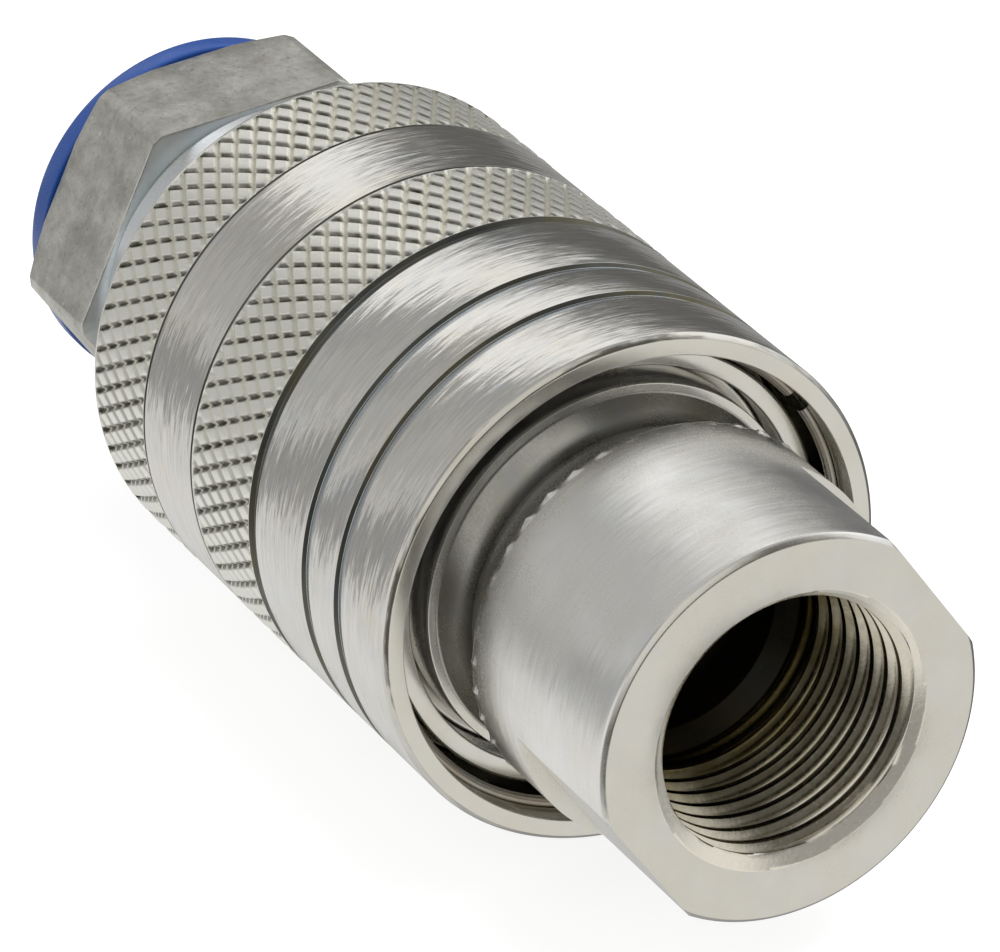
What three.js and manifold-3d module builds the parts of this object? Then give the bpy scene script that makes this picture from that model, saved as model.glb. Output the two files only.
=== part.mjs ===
// A half-inch ball-lock quick disconnect coupler with its nipple plugged in and a dust plug
// in its rear port.
//
// Units are millimetres. The axis lies along X: the nipple's open port faces +X, the dust plug
// faces -X, and +Z is up. Every piece is drawn in the axle group, whose local +Y runs along the
// axis from the nipple's front face towards the plug. A place along that line is a station.

import * as THREE from 'three';
import { mergeVertices } from 'three/addons/utils/BufferGeometryUtils.js';
import Module from 'manifold-3d';

const wasm = await Module();
wasm.setup();

// ---------------------------------------------------------------- driving dimensions

const OVERALL_LENGTH = 89.5;
const FACE_GAP = 0.3; // left between two pieces that meet face to face
const SLIDE_GAP = 0.1; // radial clearance of a piece that slides or turns on another
const RING_GAP = 0.15; // radial clearance of a loose ring in its groove or bore
const EDGE_BREAK = 0.3; // the small chamfer that breaks a turned corner

const PORT_RADIUS = 9.3; // smooth bore at the crest of the half-inch port threads
const PORT_MOUTH_RADIUS = 10.3;
const PORT_MOUTH_DEPTH = 0.6;
const STEM_RADIUS = 1.9;
const STEM_TIP_RADIUS = 1.6;
const WIRE_RADIUS = 0.5;
const GUIDE_HUB_RADIUS = 4.2;
const SEAL_GROOVE_WIDTH = 1.2; // in either valve's head
const NIPPLE_SEAL_GROOVE_DEPTH = 1.0;
const COUPLER_SEAL_GROOVE_DEPTH = 1.1;
const SEAL_CLEARANCE = 0.08; // between a valve's seal and its groove's floor

// Nipple
const NIPPLE_RADIUS = 14.25;
const NIPPLE_HEAD_END = 18.1;
const NIPPLE_NECK_RADIUS = 12.0;
const NECK_FLARE = 1.6; // the neck flares out by this much where it meets the collar
const COLLAR_START = 24.2;
const COLLAR_END = 27.9;
const COLLAR_RADIUS = NIPPLE_RADIUS + 0.05;
const NOSE_RADIUS = 10.2;
const NOSE_END = 50.0;
const NOSE_CHAMFER = 0.8;
const NOSE_BORE_RADIUS = 7.5;
const NIPPLE_SEAT_RADIUS = 5.6;
const NIPPLE_SEAT_LENGTH = 2.6;
const NIPPLE_PORT_END = 15.0;
const NIPPLE_GUIDE_SEAT = 25.5; // the step that the valve guide rests against
const NIPPLE_GUIDE_BORE = 8.0;
const NIPPLE_RING_STATION = 22.1;
const NIPPLE_RING_THICKNESS = 1.0;
const NIPPLE_RING_INNER_RADIUS = 7.1;
const NIPPLE_RING_GROOVE_RADIUS = 8.7;
const FLAT_DISTANCE = 13.05; // from the axis to each wrench flat
const FLAT_END = 12.0;
const FLAT_ANGLE = THREE.MathUtils.degToRad(30); // first flat, from local X towards local Z

// Nipple valve
const NIPPLE_STEM_FRONT = 20.5;
const NIPPLE_HEAD_FRONT = 40.5;
const NIPPLE_HEAD_RADIUS = 6.4;
const NIPPLE_HEAD_EDGE = 0.5; // thickness of the lip in front of the seal groove
const NIPPLE_PIN_END = 49.85; // the pin that pushes the coupler's valve open
const NIPPLE_GUIDE_START = 23.0;
const NIPPLE_GUIDE_END = 25.2;
const NIPPLE_GUIDE_RIM_INNER = 6.4;
const VALVE_SPRING_RADIUS = 3.3;

// Locking balls
const BALL_COUNT = 8;
const BALL_RADIUS = 3.0;
const BALL_PITCH_RADIUS = 11.8;
const BALL_STATION = 34.5;
const BALL_GROOVE_RADIUS = 8.7;
const BALL_GROOVE_HALF_WIDTH = 1.5;

// Coupler body
const BODY_FRONT = 25.2;
const LIP_RADIUS = 16.5;
const LIP_BORE_RADIUS = 15.1;
const WEB_FRONT = 28.4;
const WEB_REAR = 30.4;
const BARREL_RADIUS = 13.8;
const BARREL_REAR = 76.8;
const BARREL_REAR_CHAMFER = 0.8;
const BODY_BORE_RADIUS = NOSE_RADIUS + 0.15;
const BODY_BORE_END = 50.6;
const GLAND_START = 39.8;
const GLAND_END = 44.4;
const GLAND_RADIUS = 12.4;
const BODY_SEAT_RADIUS = 8.0;
const BODY_SEAT_END = 52.0;
const CHAMBER_START = 54.5;
const CHAMBER_RADIUS = 11.6;
const COUNTERBORE_START = 65.6;
const COUNTERBORE_RADIUS = 12.4;
const CIRCLIP_GROOVE_START = 63.4;
const CIRCLIP_GROOVE_END = 64.7;
const CIRCLIP_GROOVE_RADIUS = 13.2;
const CIRCLIP_RADIUS = 15.3;

// Coupler valve
const COUPLER_PIN_START = 50.15;
const COUPLER_PIN_RADIUS = 2.0;
const COUPLER_CONE_START = 54.6;
const COUPLER_CONE_END = 56.1;
const COUPLER_HEAD_FRONT = 56.7; // where the head reaches its full radius
const COUPLER_HEAD_END = 59.0;
const COUPLER_HEAD_RADIUS = 9.0;
const COUPLER_HEAD_EDGE = 0.3; // thickness of the lip in front of the seal groove
const COUPLER_STEM_END = 70.5;
const COUPLER_GUIDE_START = 65.9;
const COUPLER_GUIDE_END = 68.0;
const COUPLER_GUIDE_RIM_INNER = 9.8;

// Sleeve spring and its seat
const SLEEVE_SPRING_RADIUS = 15.2;
const SLEEVE_SPRING_WIRE = 0.75;
const SPRING_WASHER_RADIUS = 16.3;
const SPRING_WASHER_START = 61.7;
const SPRING_WASHER_END = 63.1;

// Sliding sleeve
const SLEEVE_RADIUS = 19.0;
const SLEEVE_FRONT = 21.5;
const SLEEVE_REAR = 68.2;
const SLEEVE_REAR_RADIUS = 18.1;
const RECESS_RADIUS = 17.45;
const RECESS_END = 30.9;
const RAMP_RADIUS = 15.02; // of the locking ramp, at the balls' station
const RAMP_SLOPE = 0.2583; // how far the ramp falls inwards for each millimetre rearwards
const SLEEVE_SHOULDER = 46.3; // the spring pushes on this
const SPRING_CHAMBER_RADIUS = 16.6;
const LINE_GROOVES = [28.4, 33.25]; // the two narrow grooves on the plain part of the sleeve
const RELIEF_STATION = 41.4; // the deeper groove in front of the knurled part
const SLEEVE_GROOVE_HALF_WIDTH = 0.55;
const LINE_GROOVE_DEPTH = 0.3;
const RELIEF_DEPTH = 0.4;
const MOUTH_RING_STATION = 24.0;
const MOUTH_RING_RADIUS = 17.35;

// Adapter, plug
const HEX_ACROSS_FLATS = 27.0;
const HEX_CORNER_RADIUS = 15.35; // the corners are turned down to this
const HEX_CHAMFER_SLOPE = Math.tan(THREE.MathUtils.degToRad(30));
const HEX_FRONT_CHAMFER_RADIUS = 15.0;
const HEX_REAR_CHAMFER_RADIUS = 13.9;
const HEX_FRONT = BARREL_REAR + FACE_GAP;
const HEX_REAR = 87.2;
const SPIGOT_START = 68.3;
const SPIGOT_RADIUS = 12.2;
const ADAPTER_RING_STATION = 71.2;
const ADAPTER_RING_GROOVE_RADIUS = 10.9;
const ADAPTER_ENTRY_RADIUS = 8.6;
const ADAPTER_ENTRY_END = 71.0;
const PLUG_FLANGE_RADIUS = 13.7;
const PLUG_START = 75.0;
const PLUG_WALL = 1.5;

// Facets round a turned piece
const FINE = 40;
const COARSE = 24;

// ---------------------------------------------------------------- materials

function finish(color, roughness, metalness) {
  return new THREE.MeshStandardMaterial({ color, roughness, metalness });
}

const FINISHES = {
  zincSteel: finish(0xc9c8c4, 0.3, 1.0),
  nippleSteel: finish(0xbdbab4, 0.36, 1.0),
  castSteel: finish(0x8f8d88, 0.6, 1.0),
  bodySteel: finish(0xa5a39e, 0.4, 1.0),
  springSteel: finish(0x77736c, 0.4, 1.0),
  ballSteel: finish(0xd8d8d8, 0.12, 1.0),
  rubber: finish(0x1a1a1a, 0.75, 0.0),
  backupPolymer: finish(0xe9e5da, 0.5, 0.0),
  bluePlastic: finish(0x2767c4, 0.4, 0.0),
};

// ---------------------------------------------------------------- shape helpers

// A solid turned about local Y from [radius, station] corners, listed with the outside wall
// running rearwards. It closes on itself unless it starts and ends on the axis.
function turned(corners, facets = FINE) {
  const points = corners.map(([radius, station]) => new THREE.Vector2(radius, station));
  const onAxis = points[0].x === 0 && points[points.length - 1].x === 0;
  if (!onAxis) points.push(points[0].clone());
  return new THREE.LatheGeometry(points, facets);
}

function turnedRing(innerRadius, outerRadius, start, end, facets = COARSE) {
  const corners = [[innerRadius, start], [outerRadius, start], [outerRadius, end], [innerRadius, end]];
  return turned(corners, facets);
}

// A ring of round section, such as an O-ring.
function roundRing(radius, station, sectionRadius, facets = COARSE) {
  const sectionCorners = 6;
  const corners = [];
  for (let i = 0; i < sectionCorners; i += 1) {
    const angle = (i / sectionCorners) * Math.PI * 2;
    corners.push([radius + sectionRadius * Math.cos(angle), station + sectionRadius * Math.sin(angle)]);
  }
  return turned(corners, facets);
}

function toManifold(geometry) {
  const bare = geometry.clone();
  bare.deleteAttribute('normal');
  bare.deleteAttribute('uv');
  const merged = mergeVertices(bare, 1e-4);
  const corners = merged.index.array;
  const triangles = [];
  for (let i = 0; i < corners.length; i += 3) {
    const [a, b, c] = corners.slice(i, i + 3);
    if (a !== b && b !== c && c !== a) triangles.push(a, b, c);
  }
  return new wasm.Manifold(new wasm.Mesh({
    numProp: 3,
    vertProperties: new Float32Array(merged.attributes.position.array),
    triVerts: new Uint32Array(triangles),
  }));
}

function toGeometry(manifold) {
  const mesh = manifold.getMesh();
  const geometry = new THREE.BufferGeometry();
  geometry.setAttribute('position', new THREE.BufferAttribute(mesh.vertProperties, 3));
  geometry.setIndex(new THREE.BufferAttribute(mesh.triVerts, 1));
  geometry.computeVertexNormals();
  return geometry;
}

function cut(geometry, ...tools) {
  const result = tools.reduce((solid, tool) => solid.subtract(toManifold(tool)), toManifold(geometry));
  return toGeometry(result);
}

function join(...geometries) {
  return toGeometry(geometries.map(toManifold).reduce((solid, next) => solid.add(next)));
}

function keepInside(geometry, limit) {
  return toGeometry(toManifold(geometry).intersect(toManifold(limit)));
}

// A round wire that follows a curve.
function wire(curve, radius, steps) {
  const section = new THREE.Shape();
  section.absarc(0, 0, radius, 0, Math.PI * 2, false);
  return new THREE.ExtrudeGeometry(section, { steps, curveSegments: 3, extrudePath: curve });
}

// The centre line of a compression spring between two stations. One turn at each end is
// closed, where the coils nearly touch, and the working turns share the rest of the length.
class SpringLine extends THREE.Curve {
  constructor(radius, start, end, wireRadius, workingTurns) {
    super();
    this.radius = radius;
    this.start = start + wireRadius;
    this.length = end - start - 2 * wireRadius;
    this.turns = workingTurns + 2;
    this.endShare = 1 / this.turns;
    this.endRise = 2.2 * wireRadius;
  }

  getPoint(t, target = new THREE.Vector3()) {
    const angle = t * this.turns * Math.PI * 2;
    const middleRise = this.length - 2 * this.endRise;
    let rise = this.endRise * (t / this.endShare);
    if (t > this.endShare) {
      rise = this.endRise + middleRise * ((t - this.endShare) / (1 - 2 * this.endShare));
    }
    if (t > 1 - this.endShare) {
      rise = this.length - this.endRise * ((1 - t) / this.endShare);
    }
    const x = this.radius * Math.cos(angle);
    const z = this.radius * Math.sin(angle);
    return target.set(x, this.start + rise, z);
  }
}

function spring(radius, start, end, wireRadius, workingTurns, stepsPerTurn) {
  const line = new SpringLine(radius, start, end, wireRadius, workingTurns);
  return wire(line, wireRadius, (workingTurns + 2) * stepsPerTurn);
}

// Part of a circle round the axis, at one station.
class OpenRingLine extends THREE.Curve {
  constructor(radius, station, startAngle, sweep) {
    super();
    this.radius = radius;
    this.station = station;
    this.startAngle = startAngle;
    this.sweep = sweep;
  }

  getPoint(t, target = new THREE.Vector3()) {
    const angle = this.startAngle + t * this.sweep;
    return target.set(this.radius * Math.cos(angle), this.station, this.radius * Math.sin(angle));
  }
}

// A flat snap ring with a gap, lying across the axis.
function snapRing(innerRadius, outerRadius, start, thickness, halfGap) {
  const outline = new THREE.Shape();
  outline.absarc(0, 0, outerRadius, halfGap, Math.PI * 2 - halfGap, false);
  outline.absarc(0, 0, innerRadius, Math.PI * 2 - halfGap, halfGap, true);
  const settings = { depth: thickness, bevelEnabled: false, curveSegments: COARSE / 2 };
  const ring = new THREE.ExtrudeGeometry(outline, settings);
  ring.rotateX(-Math.PI / 2);
  ring.translate(0, start, 0);
  return ring;
}

// A valve guide: a rim, a bored hub and spokes between them that let the fluid past.
function spokedGuide(rimInner, rimOuter, start, end) {
  const hubBore = STEM_RADIUS + 2 * SLIDE_GAP;
  const spokeCount = 3;
  const spokeWidth = 2.0;
  const spokeInset = 0.2; // each spoke is this much thinner than the rim, on both faces
  const spokeLap = 0.6; // how far a spoke runs into the rim and the hub
  const spokeInner = GUIDE_HUB_RADIUS - spokeLap;
  const spokeOuter = rimInner + spokeLap;
  const rim = turnedRing(rimInner, rimOuter, start, end);
  const hub = turnedRing(hubBore, GUIDE_HUB_RADIUS, start, end);
  const pieces = [rim, hub];
  for (let i = 0; i < spokeCount; i += 1) {
    const spoke = new THREE.BoxGeometry(spokeOuter - spokeInner, end - start - 2 * spokeInset, spokeWidth);
    spoke.translate((spokeInner + spokeOuter) / 2, (start + end) / 2, 0);
    spoke.rotateY((i / spokeCount) * Math.PI * 2);
    pieces.push(spoke);
  }
  return join(...pieces);
}

// ---------------------------------------------------------------- nipple

function wrenchFlatTool(angle) {
  const depth = 4;
  const overrun = 1;
  const tool = new THREE.BoxGeometry(depth, FLAT_END + overrun, 2 * NIPPLE_RADIUS);
  tool.translate(FLAT_DISTANCE + depth / 2, (FLAT_END - overrun) / 2, 0);
  tool.rotateY(-angle);
  return tool;
}

function nippleBody() {
  const grooveShoulder = NOSE_RADIUS - BALL_GROOVE_RADIUS;
  const grooveStart = BALL_STATION - BALL_GROOVE_HALF_WIDTH;
  const grooveEnd = BALL_STATION + BALL_GROOVE_HALF_WIDTH;
  const ringGrooveHalf = NIPPLE_RING_THICKNESS / 2 + SLIDE_GAP;
  const seatStart = NOSE_END - NIPPLE_SEAT_LENGTH;
  const seatCone = NOSE_BORE_RADIUS - NIPPLE_SEAT_RADIUS;
  const outside = [
    [PORT_MOUTH_RADIUS, 0],
    [NIPPLE_RADIUS - EDGE_BREAK, 0],
    [NIPPLE_RADIUS, EDGE_BREAK],
    [NIPPLE_RADIUS, NIPPLE_HEAD_END - EDGE_BREAK],
    [NIPPLE_RADIUS - EDGE_BREAK, NIPPLE_HEAD_END],
    [NIPPLE_NECK_RADIUS, NIPPLE_HEAD_END],
    [NIPPLE_NECK_RADIUS, COLLAR_START - NECK_FLARE],
    [NIPPLE_NECK_RADIUS + NECK_FLARE, COLLAR_START],
    [COLLAR_RADIUS, COLLAR_START],
    [COLLAR_RADIUS, COLLAR_END],
    [NOSE_RADIUS, COLLAR_END],
    [NOSE_RADIUS, grooveStart - grooveShoulder],
    [BALL_GROOVE_RADIUS, grooveStart],
    [BALL_GROOVE_RADIUS, grooveEnd],
    [NOSE_RADIUS, grooveEnd + grooveShoulder],
    [NOSE_RADIUS, NOSE_END - NOSE_CHAMFER],
    [NOSE_RADIUS - NOSE_CHAMFER, NOSE_END],
  ];
  const inside = [
    [NIPPLE_SEAT_RADIUS, NOSE_END],
    [NIPPLE_SEAT_RADIUS, seatStart],
    [NOSE_BORE_RADIUS, seatStart - seatCone],
    [NOSE_BORE_RADIUS, NIPPLE_GUIDE_SEAT],
    [NIPPLE_GUIDE_BORE, NIPPLE_GUIDE_SEAT],
    [NIPPLE_GUIDE_BORE, NIPPLE_RING_STATION + ringGrooveHalf],
    [NIPPLE_RING_GROOVE_RADIUS, NIPPLE_RING_STATION + ringGrooveHalf],
    [NIPPLE_RING_GROOVE_RADIUS, NIPPLE_RING_STATION - ringGrooveHalf],
    [NIPPLE_GUIDE_BORE, NIPPLE_RING_STATION - ringGrooveHalf],
    [NIPPLE_GUIDE_BORE, NIPPLE_PORT_END + PORT_RADIUS - NIPPLE_GUIDE_BORE],
    [PORT_RADIUS, NIPPLE_PORT_END],
    [PORT_RADIUS, PORT_MOUTH_DEPTH],
  ];
  const blank = turned([...outside, ...inside]);
  return cut(blank, wrenchFlatTool(FLAT_ANGLE), wrenchFlatTool(FLAT_ANGLE + Math.PI));
}

function nipplePoppet() {
  const grooveStart = NIPPLE_HEAD_FRONT + NIPPLE_HEAD_EDGE;
  const grooveEnd = grooveStart + SEAL_GROOVE_WIDTH;
  const grooveRadius = NIPPLE_HEAD_RADIUS - NIPPLE_SEAL_GROOVE_DEPTH;
  const shoulderStart = grooveEnd + EDGE_BREAK;
  const coneStart = shoulderStart + 0.9;
  const coneEnd = coneStart + 1.0;
  const coneRadius = NIPPLE_HEAD_RADIUS - 0.8;
  const pinTip = COUPLER_PIN_RADIUS - STEM_TIP_RADIUS;
  return turned([
    [0, NIPPLE_STEM_FRONT],
    [STEM_TIP_RADIUS, NIPPLE_STEM_FRONT],
    [STEM_RADIUS, NIPPLE_STEM_FRONT + EDGE_BREAK],
    [STEM_RADIUS, NIPPLE_HEAD_FRONT],
    [NIPPLE_HEAD_RADIUS, NIPPLE_HEAD_FRONT],
    [NIPPLE_HEAD_RADIUS, grooveStart],
    [grooveRadius, grooveStart],
    [grooveRadius, grooveEnd],
    [NIPPLE_HEAD_RADIUS, grooveEnd],
    [NIPPLE_HEAD_RADIUS, shoulderStart],
    [coneRadius, coneStart],
    [COUPLER_PIN_RADIUS, coneEnd],
    [COUPLER_PIN_RADIUS, NIPPLE_PIN_END - pinTip],
    [STEM_TIP_RADIUS, NIPPLE_PIN_END],
    [0, NIPPLE_PIN_END],
  ], COARSE);
}

function nippleGuideRing() {
  const halfGap = THREE.MathUtils.degToRad(14);
  const outer = NIPPLE_RING_GROOVE_RADIUS - SLIDE_GAP;
  const start = NIPPLE_RING_STATION - NIPPLE_RING_THICKNESS / 2;
  return snapRing(NIPPLE_RING_INNER_RADIUS, outer, start, NIPPLE_RING_THICKNESS, halfGap);
}

// ---------------------------------------------------------------- coupler body

function ballHoleTool(angle) {
  const radius = BALL_RADIUS + SLIDE_GAP;
  const facets = 20;
  const innerEnd = 2;
  const tool = new THREE.CylinderGeometry(radius, radius, LIP_RADIUS, facets);
  tool.rotateZ(Math.PI / 2);
  tool.translate(innerEnd + LIP_RADIUS / 2, BALL_STATION, 0);
  tool.rotateY(-angle);
  return tool;
}

function couplerBody() {
  const blank = turned([
    [LIP_BORE_RADIUS, BODY_FRONT],
    [LIP_RADIUS - EDGE_BREAK, BODY_FRONT],
    [LIP_RADIUS, BODY_FRONT + EDGE_BREAK],
    [LIP_RADIUS, WEB_REAR],
    [BARREL_RADIUS, WEB_REAR],
    [BARREL_RADIUS, CIRCLIP_GROOVE_START],
    [CIRCLIP_GROOVE_RADIUS, CIRCLIP_GROOVE_START],
    [CIRCLIP_GROOVE_RADIUS, CIRCLIP_GROOVE_END],
    [BARREL_RADIUS, CIRCLIP_GROOVE_END],
    [BARREL_RADIUS, BARREL_REAR - BARREL_REAR_CHAMFER],
    [BARREL_RADIUS - BARREL_REAR_CHAMFER, BARREL_REAR],
    [COUNTERBORE_RADIUS, BARREL_REAR],
    [COUNTERBORE_RADIUS, COUNTERBORE_START],
    [CHAMBER_RADIUS, COUNTERBORE_START],
    [CHAMBER_RADIUS, CHAMBER_START],
    [BODY_SEAT_RADIUS, BODY_SEAT_END],
    [BODY_SEAT_RADIUS, BODY_BORE_END],
    [BODY_BORE_RADIUS, BODY_BORE_END],
    [BODY_BORE_RADIUS, GLAND_END],
    [GLAND_RADIUS, GLAND_END],
    [GLAND_RADIUS, GLAND_START],
    [BODY_BORE_RADIUS, GLAND_START],
    [BODY_BORE_RADIUS, WEB_FRONT],
    [LIP_BORE_RADIUS, WEB_FRONT],
  ]);
  const holes = [];
  for (let i = 0; i < BALL_COUNT; i += 1) holes.push(ballHoleTool((i / BALL_COUNT) * Math.PI * 2));
  return cut(blank, ...holes);
}

function couplerPoppet() {
  const grooveStart = COUPLER_HEAD_FRONT + COUPLER_HEAD_EDGE;
  const grooveEnd = grooveStart + SEAL_GROOVE_WIDTH;
  const grooveRadius = COUPLER_HEAD_RADIUS - COUPLER_SEAL_GROOVE_DEPTH;
  const coneRadius = COUPLER_HEAD_RADIUS - 0.8;
  const pinTip = COUPLER_PIN_RADIUS - STEM_TIP_RADIUS;
  return turned([
    [0, COUPLER_PIN_START],
    [STEM_TIP_RADIUS, COUPLER_PIN_START],
    [COUPLER_PIN_RADIUS, COUPLER_PIN_START + pinTip],
    [COUPLER_PIN_RADIUS, COUPLER_CONE_START],
    [coneRadius, COUPLER_CONE_END],
    [COUPLER_HEAD_RADIUS, COUPLER_HEAD_FRONT],
    [COUPLER_HEAD_RADIUS, grooveStart],
    [grooveRadius, grooveStart],
    [grooveRadius, grooveEnd],
    [COUPLER_HEAD_RADIUS, grooveEnd],
    [COUPLER_HEAD_RADIUS, COUPLER_HEAD_END],
    [STEM_RADIUS, COUPLER_HEAD_END],
    [STEM_RADIUS, COUPLER_STEM_END - EDGE_BREAK],
    [STEM_TIP_RADIUS, COUPLER_STEM_END],
    [0, COUPLER_STEM_END],
  ], COARSE);
}

function springCirclip() {
  const thickness = CIRCLIP_GROOVE_END - CIRCLIP_GROOVE_START - 2 * SLIDE_GAP;
  const halfGap = THREE.MathUtils.degToRad(8);
  const inner = CIRCLIP_GROOVE_RADIUS + SLIDE_GAP;
  return snapRing(inner, CIRCLIP_RADIUS, CIRCLIP_GROOVE_START + SLIDE_GAP, thickness, halfGap);
}

// ---------------------------------------------------------------- sleeve

// Four corners of a narrow groove in the sleeve's outside, with sloping walls.
function outsideGroove(station, depth) {
  const floorHalfWidth = SLEEVE_GROOVE_HALF_WIDTH - depth / 2;
  return [
    [SLEEVE_RADIUS, station - SLEEVE_GROOVE_HALF_WIDTH],
    [SLEEVE_RADIUS - depth, station - floorHalfWidth],
    [SLEEVE_RADIUS - depth, station + floorHalfWidth],
    [SLEEVE_RADIUS, station + SLEEVE_GROOVE_HALF_WIDTH],
  ];
}

function gripSleeve() {
  const guideBore = BARREL_RADIUS + SLIDE_GAP;
  const rampStartRadius = RAMP_RADIUS + RAMP_SLOPE * (BALL_STATION - RECESS_END);
  const rampEnd = BALL_STATION + (RAMP_RADIUS - guideBore) / RAMP_SLOPE;
  const ringGrooveHalf = WIRE_RADIUS + SLIDE_GAP;
  const ringGrooveRadius = MOUTH_RING_RADIUS + WIRE_RADIUS + RING_GAP;
  const frontEdge = 0.4;
  const rearChamferLength = 1.3;
  return turned([
    [RECESS_RADIUS, SLEEVE_FRONT],
    [SLEEVE_RADIUS - frontEdge, SLEEVE_FRONT],
    [SLEEVE_RADIUS, SLEEVE_FRONT + frontEdge],
    ...LINE_GROOVES.flatMap((station) => outsideGroove(station, LINE_GROOVE_DEPTH)),
    ...outsideGroove(RELIEF_STATION, RELIEF_DEPTH),
    [SLEEVE_RADIUS, SLEEVE_REAR - rearChamferLength],
    [SLEEVE_REAR_RADIUS, SLEEVE_REAR],
    [SPRING_CHAMBER_RADIUS, SLEEVE_REAR],
    [SPRING_CHAMBER_RADIUS, SLEEVE_SHOULDER],
    [guideBore, SLEEVE_SHOULDER],
    [guideBore, rampEnd],
    [rampStartRadius, RECESS_END],
    [RECESS_RADIUS, RECESS_END],
    [RECESS_RADIUS, MOUTH_RING_STATION + ringGrooveHalf],
    [ringGrooveRadius, MOUTH_RING_STATION + ringGrooveHalf],
    [ringGrooveRadius, MOUTH_RING_STATION - ringGrooveHalf],
    [RECESS_RADIUS, MOUTH_RING_STATION - ringGrooveHalf],
  ]);
}

function mouthWireRing() {
  const gapAngle = THREE.MathUtils.degToRad(31);
  const halfGap = THREE.MathUtils.degToRad(3);
  const start = gapAngle + halfGap;
  const sweep = 2 * (Math.PI - halfGap);
  const line = new OpenRingLine(MOUTH_RING_RADIUS, MOUTH_RING_STATION, start, sweep);
  return wire(line, WIRE_RADIUS, FINE);
}

// ---------------------------------------------------------------- adapter and plug

function hexAdapter() {
  const ringGrooveHalf = 1.0;
  const cornerDistance = HEX_ACROSS_FLATS / 2 / Math.cos(Math.PI / 6);
  const frontChamfer = (HEX_CORNER_RADIUS - HEX_FRONT_CHAMFER_RADIUS) * HEX_CHAMFER_SLOPE;
  const rearChamfer = (HEX_CORNER_RADIUS - HEX_REAR_CHAMFER_RADIUS) * HEX_CHAMFER_SLOPE;
  const overrun = 1;
  const outside = turned([
    [0, SPIGOT_START],
    [SPIGOT_RADIUS, SPIGOT_START],
    [SPIGOT_RADIUS, ADAPTER_RING_STATION - ringGrooveHalf],
    [ADAPTER_RING_GROOVE_RADIUS, ADAPTER_RING_STATION - ringGrooveHalf],
    [ADAPTER_RING_GROOVE_RADIUS, ADAPTER_RING_STATION + ringGrooveHalf],
    [SPIGOT_RADIUS, ADAPTER_RING_STATION + ringGrooveHalf],
    [SPIGOT_RADIUS, HEX_FRONT],
    [HEX_FRONT_CHAMFER_RADIUS, HEX_FRONT],
    [HEX_CORNER_RADIUS, HEX_FRONT + frontChamfer],
    [HEX_CORNER_RADIUS, HEX_REAR - rearChamfer],
    [HEX_REAR_CHAMFER_RADIUS, HEX_REAR],
    [0, HEX_REAR],
  ]);
  const length = HEX_REAR - SPIGOT_START + 2 * overrun;
  const turn = Math.PI / 6; // brings two of the flats square to Z
  const prism = new THREE.CylinderGeometry(cornerDistance, cornerDistance, length, 6, 1, false, turn);
  prism.translate(0, (HEX_REAR + SPIGOT_START) / 2, 0);
  const port = turned([
    [0, SPIGOT_START - overrun],
    [ADAPTER_ENTRY_RADIUS, SPIGOT_START - overrun],
    [ADAPTER_ENTRY_RADIUS, ADAPTER_ENTRY_END],
    [PORT_RADIUS, ADAPTER_ENTRY_END + PORT_RADIUS - ADAPTER_ENTRY_RADIUS],
    [PORT_RADIUS, HEX_REAR - PORT_MOUTH_DEPTH],
    [PORT_MOUTH_RADIUS, HEX_REAR],
    [PORT_MOUTH_RADIUS, HEX_REAR + overrun],
    [0, HEX_REAR + overrun],
  ]);
  return cut(keepInside(outside, prism), port);
}

function portPlug() {
  const skirtRadius = PORT_RADIUS - 2 * SLIDE_GAP;
  const skirtChamfer = 0.5;
  const flangeFront = HEX_REAR + FACE_GAP;
  return turned([
    [0, PLUG_START],
    [skirtRadius - skirtChamfer, PLUG_START],
    [skirtRadius, PLUG_START + skirtChamfer],
    [skirtRadius, flangeFront],
    [PLUG_FLANGE_RADIUS, flangeFront],
    [PLUG_FLANGE_RADIUS, OVERALL_LENGTH - EDGE_BREAK],
    [PLUG_FLANGE_RADIUS - EDGE_BREAK, OVERALL_LENGTH],
    [skirtRadius - PLUG_WALL, OVERALL_LENGTH],
    [skirtRadius - PLUG_WALL, PLUG_START + PLUG_WALL],
    [0, PLUG_START + PLUG_WALL],
  ]);
}

// ---------------------------------------------------------------- assembly

const axle = new THREE.Group();
axle.rotation.z = Math.PI / 2;
axle.position.x = OVERALL_LENGTH / 2;

function addPiece(name, geometry, material, parent = axle) {
  const piece = new THREE.Mesh(geometry, material);
  piece.name = name;
  parent.add(piece);
  return piece;
}

function addBalls() {
  const facets = 10;
  const bands = 7;
  const ballGeometry = new THREE.SphereGeometry(BALL_RADIUS, facets, bands);
  for (let i = 0; i < BALL_COUNT; i += 1) {
    const angle = (i / BALL_COUNT) * Math.PI * 2;
    const x = BALL_PITCH_RADIUS * Math.cos(angle);
    const z = BALL_PITCH_RADIUS * Math.sin(angle);
    const ball = addPiece(`locking_ball_${i + 1}`, ballGeometry, FINISHES.ballSteel);
    ball.position.set(x, BALL_STATION, z);
  }
}

function valveSpring(start, end, workingTurns) {
  const stepsPerTurn = 10;
  return spring(VALVE_SPRING_RADIUS, start, end, WIRE_RADIUS, workingTurns, stepsPerTurn);
}

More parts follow.
